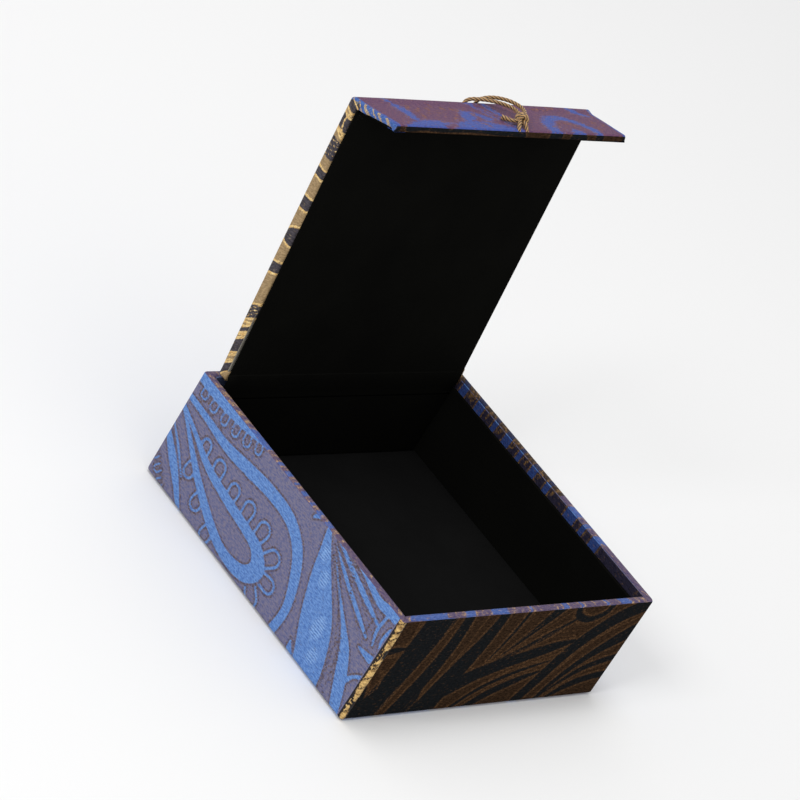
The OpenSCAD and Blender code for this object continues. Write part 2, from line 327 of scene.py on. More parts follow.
    def inside(self, add: AddNode, outside: Node, wander: Node) -> Node:
        """Turns a distance outside a figure into 1 inside it, with a soft edge.

        Args:
            add: Adds a node to the material.
            outside: Gives the distance outside the figure.
            wander: Moves the figure's edge.

        Returns:
            The node whose output is the share inside.
        """
        moved = add("ShaderNodeMath", {0: outside.outputs["Fac"], 1: wander}, operation="ADD")
        return add(
            "ShaderNodeMapRange",
            {"Value": moved, "From Min": self.edge_mm, "From Max": -self.edge_mm},
            interpolation_type="SMOOTHSTEP",
        )


@dataclass(frozen=True)
class PileCloth(Finish):
    """Cloth with a short pile, such as velvet, or a fuzzy lining."""

    name: str
    colour: str
    tip: str
    sheen: float
    roughness: float = 0.95
    tuft_mm: float = 0.5
    brushed_per_m: float = 60.0
    relief: float = 0.4

    def dress(self, add: AddNode) -> dict[str, object]:
        """Gives a deep, even colour with a faintly lighter nap.

        Args:
            add: Adds a node to the material.

        Returns:
            The principled shader's inputs.
        """
        place = add("ShaderNodeTexCoord").outputs["Object"]
        tufts, brushed = (
            add(
                "ShaderNodeTexNoise",
                {"Vector": place, "Scale": scale, "Detail": 3.0, "Roughness": rough},
            )
            for scale, rough in ((1 / (self.tuft_mm * MM), 0.7), (self.brushed_per_m, 0.5))
        )
        both = add("ShaderNodeMath", {0: tufts, 1: brushed}, operation="MULTIPLY")
        colour = add(
            "ShaderNodeMix", {0: both, 6: srgb(self.colour), 7: srgb(self.tip)}, data_type="RGBA"
        )
        bump = add(
            "ShaderNodeBump", {"Height": tufts, "Strength": self.relief, "Distance": 0.1 * MM}
        )
        return {
            "Base Color": colour,
            "Normal": bump,
            "Roughness": self.roughness,
            "Specular IOR Level": 0.01,
            "Sheen Weight": self.sheen,
            "Sheen Roughness": 0.5,
        }


@dataclass(frozen=True)
class Board(Finish):
    """Pressed board, card or paper with flecks of fibre."""

    name: str
    colour: str
    fleck: str
    fleck_mm: float = 0.8
    roughness: float = 0.85

    def dress(self, add: AddNode) -> dict[str, object]:
        """Mixes fibre flecks into the pulp's colour.

        Args:
            add: Adds a node to the material.

        Returns:
            The principled shader's inputs.
        """
        place = add("ShaderNodeTexCoord").outputs["Object"]
        flecks = add(
            "ShaderNodeTexNoise",
            {"Vector": place, "Scale": 1 / (self.fleck_mm * MM), "Detail": 4.0, "Roughness": 0.65},
        )
        colour = add(
            "ShaderNodeMix",
            {0: flecks, 6: srgb(self.colour), 7: srgb(self.fleck)},
            data_type="RGBA",
        )
        bump = add("ShaderNodeBump", {"Height": flecks, "Strength": 0.3, "Distance": 0.05 * MM})
        return {
            "Base Color": colour,
            "Normal": bump,
            "Roughness": self.roughness,
        }


@dataclass(frozen=True)
class RayonCord(Finish):
    """Glossy rayon yarn, plied and twisted, with painted shade in the grooves and painted sheen
    streaks.
    """

    name: str
    groove: str
    yarn: str
    painted_sheen: str
    roughness: float = 0.42
    fibres_per_m: float = 3500.0

    def dress(self, add: AddNode) -> dict[str, object]:
        """Paints shade into the grooves between the plies, and paints sheen streaks on the yarn
        along them.

        Args:
            add: Adds a node to the material.

        Returns:
            The principled shader's inputs.
        """
        ply = add("ShaderNodeAttribute", attribute_name="ply")
        place = add("ShaderNodeTexCoord").outputs["Object"]
        # Rayon fibres are hair fine, so the streaks stand for bundles of them; their pale shine
        # colour is painted sheen.
        fibres = add(
            "ShaderNodeTexNoise", {"Vector": place, "Scale": self.fibres_per_m, "Detail": 3.0}
        )
        # Painted shade: off the plies' crests the colour falls to the groove's dark.
        crest = add(
            "ShaderNodeMapRange",
            {"Value": ply.outputs["Fac"], "From Min": 0.35, "From Max": 0.9},
            interpolation_type="SMOOTHSTEP",
        )
        yarn = add(
            "ShaderNodeMix", {0: fibres, 6: srgb(self.yarn), 7: srgb(self.painted_sheen)}, data_type="RGBA"
        )
        colour = add("ShaderNodeMix", {0: crest, 6: srgb(self.groove), 7: yarn}, data_type="RGBA")
        return {
            "Base Color": colour,
            "Roughness": self.roughness,
            "Sheen Weight": 0.2,
        }


class Threads(Enum):
    """The shot silk's colours by the way a face turns to the light.

    One brocade of blue, navy and gold threads covers the whole box. Its colour changes with the
    way the light falls on it, and these looks paint that in: a face that turns to the light is
    painted blue on violet as painted light, and a face that turns from it is painted near black
    on bronze as painted shade.
    """

    # Floats lit along their length: bright blue on a matt violet grey.
    LIT_WALL = Brocade(
        "silk_brocade_blue_on_violet", "565c88", "807a8c", "446cb0", "729ad4", "42363e", "66544e",
        speckle=0.35, stitch_cover=0.55,
    )
    # Painted shade: the same cloth where it turns from the light, painted near black on bronze.
    SHADED_WALL = Brocade(
        "silk_brocade_painted_shade_black_on_bronze", "241a13", "453325", "16181a", "202224", "4c3626", "6c4f35",
        gloss=0.0, sheen=0.0, speckle=0.4, wander_mm=0.3, edge_mm=0.25,
    )
    # Cloth bent over the board's edge, painted as lit from above for faces that turn up: violet
    # and blue, nicked with pale gold stitches.
    RIM = Brocade(
        "silk_brocade_rim", "4a3f66", "706072", "3c5290", "5870b0", "7a5c48", "d0ac80",
        speckle=0.5, wander_mm=0.5, wander_per_mm=0.8, edge_mm=0.3,
    )
    # The rim beside the lid, where less light falls: dark navy and brown.
    FAR_RIM = Brocade(
        "silk_brocade_far_rim", "231c1b", "463832", "1c2036", "30385e", "4e3824", "a07c4e",
        speckle=0.6, wander_mm=0.5, wander_per_mm=0.8, edge_mm=0.3,
    )
    # Seen at a slant: blue and mauve that run into each other, with bronze specks.
    FLAP = Brocade(
        "silk_brocade_blue_on_mauve", "51355a", "774f68", "384a94", "4e63ae", "643c38", "98623e",
        speckle=0.8, wander_mm=1.5, wander_per_mm=0.45, edge_mm=0.7,
    )
    # The flap's short ends: steel blue crossed by tan stitches.
    FLAP_END = Brocade(
        "silk_brocade_flap_end", "3a4478", "5c5c88", "304c8c", "5072b4", "8a7050", "d2b98c",
        speckle=0.4, wander_mm=0.3, stitch_cover=0.8,
    )
    # Gold weft seen end to end round the lid's edge: matt tan with dark gaps and gold lines.
    EDGE = Brocade(
        "silk_brocade_gold_on_tan", "86704f", "ae936e", "2c2a30", "504a50", "c89a58", "f8dc9c",
        speckle=0.2, stitch_cover=0.85,
    )
    # Gold floats round the front left corner: a broken bright line, partly the cloth's gold and
    # partly a painted highlight where the rounded corner catches the light, with dark creases of
    # painted shade.
    CORNER = Brocade(
        "silk_brocade_gold_corner_and_highlight", "16151a", "231d1b", "7e5c34", "edc680", "2a1f18", "4c3826",
        speckle=0.3, wander_mm=0.35, flecks_per_mm=0.6,
    )
    # The hem that is turned in behind the rim, in painted shade inside the box: dim navy with
    # bronze specks.
    INSIDE = Brocade(
        "silk_brocade_inside_rim_painted_shade", "1b1a2c", "302c40", "24346c", "36508e", "503c2c", "94703c",
        speckle=0.5,
    )


# Matt black cotton, which swallows the light inside the box.
LINING = PileCloth("black_cotton_lining", "0b0b0a", "171714", sheen=0.0)
# Cut velvet pile: black, with a faint lighter nap.
VELVET = PileCloth("black_cut_velvet", "0f0f0f", "1c1c1c", sheen=0.004, tuft_mm=0.4)
# Pressed waste paper board: dull grey with flecks.
GREYBOARD = Board("pressed_greyboard", "8c877c", "6f6a60")
# Wood free cover paper: even navy with a faint grain.
BOTTOM_PAPER = Board("navy_cover_paper", "1d2030", "2a2d3d", fleck_mm=0.5, roughness=0.7)
# Open cell polyurethane foam: grey and porous.
FOAM = Board("polyurethane_foam", "6a6a6a", "858585", fleck_mm=0.6, roughness=0.95)
# Polyester wadding: white and fluffy.
WADDING = Board("polyester_wadding", "e4e2dc", "cfccc4", fleck_mm=1.5, roughness=0.95)
# Viscose rayon yarn: glossy old gold, with painted shade in the grooves and painted sheen streaks.
GOLD_CORD = RayonCord("gold_rayon_cord", "241408", "86602f", "d9ac70")


class Rail:
    """A line of stations along a fold profile, with an outer and an inner point at each."""

    ARC_STEPS = 8
    STRAIGHT = 1e-4
    REACH = 0.02

    def __init__(self, outer: Sequence[Point2], inner: Sequence[Point2], radii: Sequence[float]):
        """Rounds the outer corners and pairs each station with the inner line.

        Args:
            outer: Corners of the outer line, from one end to the other.
            inner: The inner line's points, one for each outer corner.
            radii: Rounding at each outer corner.
        """
        corners, inside = np.array(outer, float), np.array(inner, float)
        points, partners = [corners[0]], [inside[0]]
        for i in range(1, len(corners) - 1):
            corner, radius, rounded = corners[i], radii[i], [corners[i]]
            to_last, to_next = (
                (end - corner) / np.linalg.norm(end - corner) for end in corners[[i - 1, i + 1]]
            )
            half = math.acos(float(np.clip(to_last @ to_next, -1, 1))) / 2
            if radius > 0 and abs(half - math.pi / 2) > self.STRAIGHT:
                middle = (to_last + to_next) / np.linalg.norm(to_last + to_next)
                centre = corner + middle * radius / math.sin(half)
                a, b = (
                    corner + way * radius / math.tan(half) - centre for way in (to_last, to_next)
                )
                turn = math.acos(float(np.clip(a @ b / radius**2, -1, 1)))
                rounded = [
                    centre
                    + (math.sin((1 - t) * turn) * a + math.sin(t * turn) * b) / math.sin(turn)
                    for t in np.linspace(0, 1, self.ARC_STEPS + 1)
                ]
            points += rounded
            partners += [inside[i]] * len(rounded)
        self.outer = np.array([*points, corners[-1]])
        self.inner = np.array([*partners, inside[-1]])
        self.at = run_along(self.outer)
        self.length = float(self.at[-1])

    def point(self, b: Array) -> tuple[Array, Array]:
        """Looks up outer and inner points.

        Args:
            b: Distances along the outer line.

        Returns:
            The outer and the inner points.
        """
        outer, inner = (
            np.stack([np.interp(b, self.at, line[:, k]) for k in (0, 1)], -1)
            for line in (self.outer, self.inner)
        )
        return outer, inner

    def normal(self, b: Array) -> Array:
        """Gives unit normals to the left of the line's direction.

        Args:
            b: Distances along the outer line.

        Returns:
            One normal for each distance.
        """
        ahead, _ = self.point(np.clip(b + self.REACH, 0, self.length))
        behind, _ = self.point(np.clip(b - self.REACH, 0, self.length))
        way = ahead - behind
        way = way / np.maximum(np.linalg.norm(way, axis=1, keepdims=True), 1e-9)
        return np.stack([-way[:, 1], way[:, 0]], -1)


def knots(lengths: Sequence[tuple[float, float]]) -> list[float]:
    """Splits a line of stretches into knots.

    Args:
        lengths: Each stretch's length and the pitch that it is split at.

    Returns:
        Distances of all knots from the start, with both ends.
    """
    places = [0.0]
    for length, pitch in lengths:
        count, start = max(1, round(length / pitch)), places[-1]
        places += [start + length * (k + 1) / count for k in range(count)]
    return places


def flat_sheet(
    across: Sequence[float], along: Sequence[float], depth: float, cuts: int
) -> bmesh.types.BMesh:
    """Cuts a flat sheet of cloth with a fine face and a coarser back.

    Args:
        across: Knots along the sheet's first direction.
        along: Knots along its second direction.
        depth: The cloth's thickness.
        cuts: Further cuts of each knot's stretch on the face.

    Returns:
        The sheet, with its face at height 0 and its back below it.
    """
    sheet = bmesh.new()
    bmesh.ops.create_grid(
        sheet, x_segments=len(across) - 1, y_segments=len(along) - 1, size=0.5
    )
    for vert in sheet.verts:
        i = round((vert.co.x + 0.5) * (len(across) - 1))
        j = round((vert.co.y + 0.5) * (len(along) - 1))
        vert.co = (across[i], along[j], 0)
    bmesh.ops.solidify(sheet, geom=list(sheet.faces), thickness=depth)
    heights = [v.co.z for v in sheet.verts]
    middle = (min(heights) + max(heights)) / 2
    for vert in sheet.verts:
        vert.co.z = 0 if vert.co.z > middle else -depth
    if cuts:
        edges = [e for e in sheet.edges if all(v.co.z == 0 for v in e.verts)]
        bmesh.ops.subdivide_edges(sheet, edges=edges, cuts=cuts, use_grid_fill=True)
    bmesh.ops.recalc_face_normals(sheet, faces=list(sheet.faces))
    return sheet


def read_points(mesh: Mesh) -> Array:
    """Gives a mesh's points as rows.

    Args:
        mesh: The mesh.

    Returns:
        One row of X, Y and Z for each point.
    """
    co = np.zeros(len(mesh.vertices) * 3, np.float32)
    mesh.vertices.foreach_get("co", co)
    return co.reshape(-1, 3).astype(float)


def write_points(mesh: Mesh, points: Array) -> None:
    """Moves a mesh's points."""
    mesh.vertices.foreach_set("co", points.astype(np.float32).ravel())
    mesh.update()


def write_attribute(mesh: Mesh, name: str, values: Array) -> None:
    """Stores a number or a vector at each point of a mesh.

    Args:
        mesh: The mesh to store them on.
        name: The name that its material reads them by.
        values: One number, or one row of three, for each point.
    """
    kind = "FLOAT" if values.ndim == 1 else "FLOAT_VECTOR"
    attribute = mesh.attributes.new(name, kind, "POINT")
    key = "value" if values.ndim == 1 else "vector"
    attribute.data.foreach_set(key, values.astype(np.float32).ravel())


def place_object(name: str, data: bpy.types.ID) -> Object:
    """Adds an object with its data to the scene.

    Args:
        name: The object's name.
        data: Its mesh, curve, camera or light.

    Returns:
        The object.
    """
    placed = bpy.data.objects.new(name, data)
    bpy.context.scene.collection.objects.link(placed)
    return placed


def make_piece(name: str, mesh: Mesh, finishes: Sequence[Finish]) -> Object:
    """Links a finished mesh as a piece with its finishes.

    Args:
        name: The piece's name.
        mesh: Its mesh, already in the CAD's frame and in metres.
        finishes: The finish of each material slot.

    Returns:
        The new object.
    """
    piece = place_object(name, mesh)
    mesh.name = name
    mesh.materials.clear()
    for finish in finishes:
        mesh.materials.append(finish.build())
    log.info("%s: %d faces", name, len(mesh.polygons))
    return piece


def dress_nodes(finishes: dict[Finish, Sequence[str]]) -> None:
    """Puts finishes on CAD nodes.

    Args:
        finishes: The nodes that get each finish.
    """
    for finish, names in finishes.items():
        for name in names:
            node = frame["nodes"][name]
            node.data.materials.clear()
            node.data.materials.append(finish.build())
            log.info("%s: %s", name, finish.name)


def shade_smooth(mesh: Mesh) -> None:
    """Shades a mesh smoothly."""
    mesh.polygons.foreach_set("use_smooth", [True] * len(mesh.polygons))


def sheet_mesh(sheet: bmesh.types.BMesh, name: str) -> Mesh:
    """Turns a bmesh into a mesh and frees it.

    Args:
        sheet: The bmesh.
        name: The mesh's name.

    Returns:
        The mesh.
    """
    mesh = bpy.data.meshes.new(name)
    sheet.to_mesh(mesh)
    sheet.free()
    return mesh


def curve_points(points: Sequence[Sequence[float]], steps: int) -> Array:
    """Runs a smooth line through points.

    Args:
        points: The points that it passes, of two or more numbers each.
        steps: Places on the line between one point and the next.

    Returns:
        Points along the line.
    """
    p = np.array(points, float)
    p = np.vstack([2 * p[0] - p[1], p, 2 * p[-1] - p[-2]])
    made = []
    for before, start, end, after in zip(p, p[1:], p[2:], p[3:]):
        for k in range(steps):
            t = k / steps
            bend = 2 * before - 5 * start + 4 * end - after
            twist = 3 * start - before - 3 * end + after
            made.append(0.5 * (2 * start + (end - before) * t + bend * t * t + twist * t**3))
    made.append(p[-2])
    return np.array(made)


def distance_to_line(at: Array, line: Array, half_width: Array) -> Array:
    """Measures how far points lie outside a band along a line.

    Args:
        at: The points, as rows.
        line: Points along the band's middle.
        half_width: The band's half width at each of them.

    Returns:
        Distances outside the band's edge, negative inside it.
    """
    best = np.full(len(at), np.inf)
    for a, b, half, next_half in zip(line, line[1:], half_width, half_width[1:]):
        way = b - a
        t = np.clip((at - a) @ way / max(float(way @ way), 1e-9), 0, 1)
        gap = np.linalg.norm(at - a - t[:, None] * way, axis=1)
        best = np.minimum(best, gap - half - t * (next_half - half))
    return best


class Part(Enum):
    """Which threads a stroke of the pattern is woven in."""

    MOTIF = "motif"
    LINE = "line"
    GROUND = "ground"


@dataclass(frozen=True)
class Band:
    """A band of the pattern with a width at each of its points, and an outline."""

    route: Sequence[Point3]
    part: Part = Part.MOTIF
    outlined: bool = True

    def drawn(self) -> list[tuple[Part, Array, Array, bool]]:
        """Gives the band's smooth line and half widths."""
        line = curve_points(self.route, 5)
        return [(self.part, line[:, :2], np.maximum(line[:, 2], 0) / 2, self.outlined)]

    def placed(self, at: Point2, turn: float) -> "Band":
        """Gives the same band at another place, turned by an angle in degrees."""
        route = [(*turned((x, y), at, turn), w) for x, y, w in self.route]
        return Band(route, self.part, self.outlined)


@dataclass(frozen=True)
class Arches:
    """A row of horseshoe arches, each with a foot, a direction and a size."""

    feet: Sequence[tuple[float, float, float, float]]
    weight: float = 1.0
    # In sizes: the legs' height and the feet's half spread; and how far the arc runs on.
    legs: float = 1.4
    spread: float = 0.85
    run_on: float = 0.15

    def drawn(self) -> list[tuple[Part, Array, Array, bool]]:
        """Gives each arch's line: two legs joined by a half round.

        Returns:
            Each arch's part, line, half widths and whether it is outlined.
        """
        made = []
        for x, y, turn, size in self.feet:
            a = math.radians(turn)
            up = np.array([math.cos(a), math.sin(a)]) * size
            side = np.array([-up[1], up[0]])
            foot = np.array([x, y])
            arc = [
                foot + up * (self.legs + math.sin(t)) + side * math.cos(t)
                for t in np.linspace(-self.run_on, math.pi + self.run_on, 12)
            ]
            line = np.array([foot + side * self.spread, *arc, foot - side * self.spread])
            made.append((Part.MOTIF, line, np.full(len(line), self.weight / 2), True))
        return made

    def placed(self, at: Point2, turn: float) -> "Arches":
        """Gives the same arches at another place, turned by an angle in degrees."""
        feet = [(*turned((x, y), at, turn), a + turn, size) for x, y, a, size in self.feet]
        return Arches(feet, self.weight)


def turned(point: Point2, at: Point2, turn: float) -> Point2:
    """Turns a point round the drawing's origin and moves it.

    Args:
        point: The point.
        at: Where the origin goes.
        turn: The angle in degrees.

    Returns:
        The point's new place.
    """
    a = math.radians(turn)
    x = point[0] * math.cos(a) - point[1] * math.sin(a) + at[0]
    y = point[0] * math.sin(a) + point[1] * math.cos(a) + at[1]
    return (x, y)


def cross_bands(
    low: float, high: float, bands: Sequence[Point2], lean: float = 0.3
) -> list[Band]:
    """Lays short bands across a narrow face.

    Args:
        low: Where the bands start across the face.
        high: Where they end.
        bands: Each band's place along the face and its width.
        lean: How far a band leans over its length.

    Returns:
        The bands.
    """
    return [Band([(x - lean, low - w, w), (x + lean, high + w, w * 0.9)]) for x, w in bands]


def cross_lines(low: float, high: float, lines: Sequence[Point3]) -> list[Band]:
    """Lays outline threads across a narrow face, each with its place, lean and weight."""
    return [Band([(x - lean, low, w), (x + lean, high, w)], Part.LINE) for x, lean, w in lines]


@dataclass
class Pattern:
    """A drawing of bands and arches on a sheet, in millimetres."""

    strokes: Sequence[Band | Arches]
    line_mm: float = 0.6
    # How far from a stroke its distances are worked out.
    margin: float = 2.0

    def weave(self, at: Array) -> tuple[Array, Array]:
        """Works out the woven pattern at places on the sheet.

        Args:
            at: Places, as rows of two numbers.

        Returns:
            How far each place lies outside the motifs, and outside the outlines.
        """
        motif, line = np.full((2, len(at)), BARE)
        edged = np.zeros(len(at), bool)
        for stroke in self.strokes:
            for part, route, half, outlined in stroke.drawn():
                reach = float(half.max()) + self.margin
                low, high = route.min(0) - reach, route.max(0) + reach
                near = ((at > low) & (at < high)).all(1)
                if not near.any():
                    continue
                d = distance_to_line(at[near], route, half)
                if part is Part.LINE:
                    line[near] = np.minimum(line[near], d)
                    continue
                added = part is Part.MOTIF
                taken = d < motif[near] if added else -d > motif[near]
                motif[near] = np.where(taken, d if added else -d, motif[near])
                edged[near] = np.where(taken, outlined, edged[near])
        # The outline runs round the figures as a whole, so none crosses another figure.
        outline = np.abs(motif - self.line_mm / 2) - self.line_mm / 2
        return motif, np.where(edged, np.minimum(line, outline), line)


# The paisley as it runs along a side wall: distance along the wall, height, width of the band.
PAISLEY = [
    Band([(-2, 24.5, 0.8), (8, 20.6, 1.6), (18, 16.8, 2.6), (30, 14.9, 3.2), (40, 13.9, 3.4),
          (46, 12.6, 4.2), (49.6, 8.4, 5.8), (46, 4.0, 4.6), (38, 3.0, 3.4), (30, 5.1, 3.3),
          (20, 10.0, 3.0), (12, 15.0, 2.2), (4, 20.5, 1.2), (-2, 24.0, 0.8)]),
    Band([(-2, 27.0, 2.0), (10, 26.4, 2.3), (20, 25.8, 3.2), (30, 26.8, 4.0), (40, 27.9, 4.0),
          (50, 27.4, 4.0), (57, 23.6, 4.0), (61.5, 17.0, 3.8), (64.5, 8.0, 3.0), (63.8, -1, 3.0)]),
    Arches([(14.4, 18.4, 100, 1.8), (22.0, 16.6, 96, 2.2), (29.8, 16.0, 90, 2.0),
            (37.2, 15.8, 88, 2.2), (44.4, 15.2, 80, 2.3), (50.4, 12.4, 52, 2.4),
            (52.6, 8.0, 5, 2.2), (50.8, 3.4, -48, 2.3)], 0.85),
    Arches([(13.4, 13.4, -96, 1.9), (21.2, 8.8, -100, 2.1), (29.4, 4.6, -100, 2.1)], 0.8),
    Band([(-2, 34.0, 3.0), (8, 33.8, 3.4), (18, 34.4, 3.0), (26, 35.2, 1.8), (34, 36.5, 0.6)]),
    Arches([(4.6, 32.6, -92, 1.3), (9.4, 32.4, -92, 1.4), (14.6, 32.5, -88, 1.4),
            (19.6, 33.0, -84, 1.4), (24.4, 33.8, -78, 1.4), (29.0, 35.0, -72, 1.3)], 0.7),
    Band([(61.8, 37.5, 0.8), (65.4, 30, 4.2), (69.6, 22, 8.4), (75.0, 13, 12.0), (79.2, 4, 11.4),
          (80.5, -2, 11.0)]),
    Band([(-2, 15.5, 1.6), (6, 9.4, 3.2), (12, 4.4, 2.4), (17.5, -1, 1.4)]),
    Band([(-1, 18.2, 0.6), (6, 13.0, 1.0), (12, 7.6, 0.6)]),
    Arches([(1.2, 6.8, -125, 1.1), (4.2, 4.2, -125, 1.1), (7.0, 1.6, -125, 1.1)], 0.6),
    Band([(64.5, 36.8, 0.5), (74, 33.6, 1.6), (84, 30.7, 1.9), (91.6, 28.4, 1.0)]),
    Band([(67.5, 34.0, 0.5), (76, 29.6, 1.4), (84, 26.0, 1.6), (90.5, 23.0, 1.0)]),
    Band([(69, 31.6, 0.5), (76, 25.4, 1.0), (82, 20.4, 1.6), (87, 15.2, 3.6), (91, 8, 4.4),
          (95.0, -1, 3.6)]),
    Band([(70, 36.8, 0.6), (80, 35.4, 1.6), (88, 33.4, 2.6), (94, 34.2, 3.4), (99, 34.0, 3.0)]),
    Band([(73.0, -1, 3.4), (71.0, 3.4, 0.6)]),
    Band([(90.5, 19.4, 0.8), (95, 19.6, 2.4), (99, 20.4, 3.0)]),
    Band([(99, 15, 2.6), (94.6, 12.6, 1.0), (92.6, 9.6, 1.6)]),
    Band([(92.8, 32.0, 0.9), (92.4, 27, 1.1), (93.6, 23, 0.7)]),
    Band([(96, 30.4, 1.2), (95.4, 26, 1.0), (97, 22.6, 0.8)]),
    Band([(58.4, 36.4, 2.2), (56.4, 34.0, 0.9)]),
    Band([(60.4, 35.8, 0.3), (56, 32.6, 0.3), (60, 28, 0.3)], Part.LINE),
    Band([(84.6, 19, 0.3), (85.0, 14, 0.4), (87.6, 6, 0.4), (88.4, 0, 0.3)], Part.LINE),
    Band([(83.6, 17, 0.3), (84.0, 12, 0.5), (86.0, 5, 0.5), (86.6, 0, 0.3)], Part.LINE),
    Band([(66, 36, 0.3), (77, 24, 0.5), (83.4, 14, 0.5)], Part.LINE),
    Band([(68, 36, 0.3), (80, 27.6, 0.4), (89, 20.6, 0.3)], Part.LINE),
    Band([(70, 36, 0.3), (84, 28.8, 0.5), (91, 25.6, 0.3)], Part.LINE),
    Band([(72, 36, 0.3), (84, 33.2, 0.4), (92, 31, 0.3)], Part.LINE),
    Band([(90, 31.5, 0.4), (89.6, 24, 0.5), (90.6, 21, 0.4)], Part.LINE),
    *[
        Band([(84.4 + 0.42 * k, 14.6 - 2.1 * k, 0.3), (86.8 + 0.5 * k, 13.6 - 2.1 * k, 0.3)],
             Part.LINE)
        for k in range(7)
    ],
]

# Where long floats lie on the big feather, drawn as a painted highlight: distance along the wall,
# height, length and width.
SATIN = [
    (65.8, 29.6, 1.8, 3.0), (69.8, 24.0, 2.0, 3.2), (76.4, 12.6, 2.6, 4.6), (79.6, 5.6, 2.2, 3.0),
]

# Narrow threads across the top of each wall, from the outer edge to the lining.
LEFT_RIM = [
    *cross_bands(36.2, 39.4, [(28, 9), (37.6, 1.6), (41.6, 2.4), (45.6, 1.2), (49.4, 2.2),
                              (53.4, 1.4), (57, 2.6), (61.5, 3)]),
    # A painted highlight: a pale gold line along the left rim's top, where its rounded edge
    # catches the light.
    Band([(2, 37.6, 0.5), (20, 37.7, 0.7), (44, 37.7, 0.4), (62, 37.6, 0.5), (80, 37.7, 0.1)],
         Part.LINE),
    *cross_lines(36.2, 39.4, [(3, 0.5, 1.2), (6.4, 0.4, 2.0), (10, 0.5, 2.6), (14, 0.6, 2.2),
                              (17.6, 0.4, 2.2), (21.4, 0.5, 1.8), (24.6, 0.4, 0.8),
                              (34.6, 0.5, 1.2), (65, 0.6, 1.2), (68.4, 0.6, 1.0),
                              (82, 0.6, 0.5), (95.4, 0.6, 1.4)]),
]
FRONT_RIM = [
    *cross_bands(35.8, 39.4, [(10, 15), (26, 4), (37.5, 7), (50, 1), (64, 2.4), (70.5, 1.2),
                              (81, 1.4), (88.5, 5)]),
    *cross_lines(35.8, 39.4, [(20.6, 0.3, 0.6), (23, 0.3, 0.5), (31, 0.4, 0.6), (43.4, 0.5, 0.9),
                              (46.6, 0.4, 0.7), (53.6, 0.5, 0.5), (60.6, 0.4, 0.5),
                              (76, 0.4, 0.5), (94.4, 0.6, 0.9), (96.6, 0.3, 1.2)]),
]
RIGHT_RIM = [
    *cross_bands(36.2, 39.4, [(24, 4), (30, 2), (36, 5), (48, 2.4), (55, 3), (62, 2), (68.6, 3.4),
                              (75, 2), (83, 3.6), (91, 3)]),
    *cross_lines(36.2, 39.4, [(3, 0.6, 0.5), (45, 0.5, 0.9), (52, 0.5, 0.8), (58.6, 0.4, 1.0),
                              (65.4, 0.4, 0.9), (72, 0.5, 1.2), (78.6, 0.5, 1.0), (86.6, 0.4, 1.3),
                              (88, 0.3, 0.9), (94.4, 0.4, 1.2)]),
]

# The front edge, where the gold floats wrap round the corner and a painted highlight lies along
# it; distance from it and height.
CORNER_PATTERN = Pattern(
    [
        Band([(-0.5, 37, 2.0), (-0.1, 34, 2.6), (0.3, 31.6, 2.4), (0.6, 29.0, 3.0),
              (0.3, 26.2, 2.4)]),
        Band([(0.8, 21.6, 1.4), (0.2, 19.0, 2.6), (0.5, 16, 2.8), (0.2, 13.0, 2.6),
              (0.4, 10.0, 2.4), (0.8, 7.4, 1.2)]),
        Band([(0.0, 4.4, 1.2), (0.1, 2.4, 2.0), (0.3, -0.6, 1.6)]),
        # The cloth is creased across the edge, and the creases are painted dark as painted shade.
        *[
            Band([(-1.8, v - 0.9, 0.16), (-0.2, v, 0.4), (1.5, v + 1.1, 0.16)], Part.GROUND)
            for v in (34.4, 31.0, 28.6, 19.6, 18.2, 14.6, 11.2, 3.0)
        ],
        # Single gold threads cross the dark gaps.
        *[
            Band([(x, high, 0.14), (x - 0.1, low, 0.14)], outlined=False)
            for x in (-0.7, -0.2, 0.3)
            for high, low in ((25.4, 21.8), (7.2, 4.6))
        ],
    ],
    line_mm=0.3,
)

# The lid's edge: distance from the fold and depth below its face.
LID_EDGE_PATTERN = Pattern(
    [
        *cross_bands(-1, 5, [(1.2, 3.2), (6.9, 4.4), (22.9, 2.6), (32.8, 3.8), (53.7, 3.4)], 0.2),
        Band([(15.2, -1, 6.4), (15.0, 5, 6.0)], outlined=False),
        Band([(43.2, 0.8, 0.8), (43.2, 2.0, 3.6), (43.2, 3.4, 5.4), (43.2, 5.2, 6.4)]),
        Band([(68.6, -1, 4.4), (68.2, 5, 4.2)]),
        Band([(79.8, -1, 3.6), (79.6, 5, 4.6)]),
        Band([(74.8, -1, 1.0), (74.0, 5, 1.6)]),
        Band([(87.2, -1, 3.0), (87.0, 5, 3.0)]),
        Band([(2.6, 4.6, 0.5), (4.2, 3.0, 0.5), (6.6, 2.4, 0.5), (9, 3.0, 0.5), (10.6, 4.6, 0.5)],
             Part.LINE),
        *cross_lines(-0.5, 4.5, [(10.2, 0.8, 0.7), (13.0, -1.0, 0.25), (14.4, -1.0, 0.25),
                                 (15.8, -1.0, 0.25), (17.2, -1.0, 0.25), (67.2, -0.8, 0.25),
                                 (68.4, -0.8, 0.25), (69.6, -0.8, 0.25), (72.0, 0.3, 0.7),
                                 (73.2, -0.3, 0.5), (75.8, 0.4, 0.9), (77.0, -0.5, 0.5),
                                 (83.0, 0.1, 0.6), (84.5, 0.2, 0.6)]),
    ],
    line_mm=0.65,
)

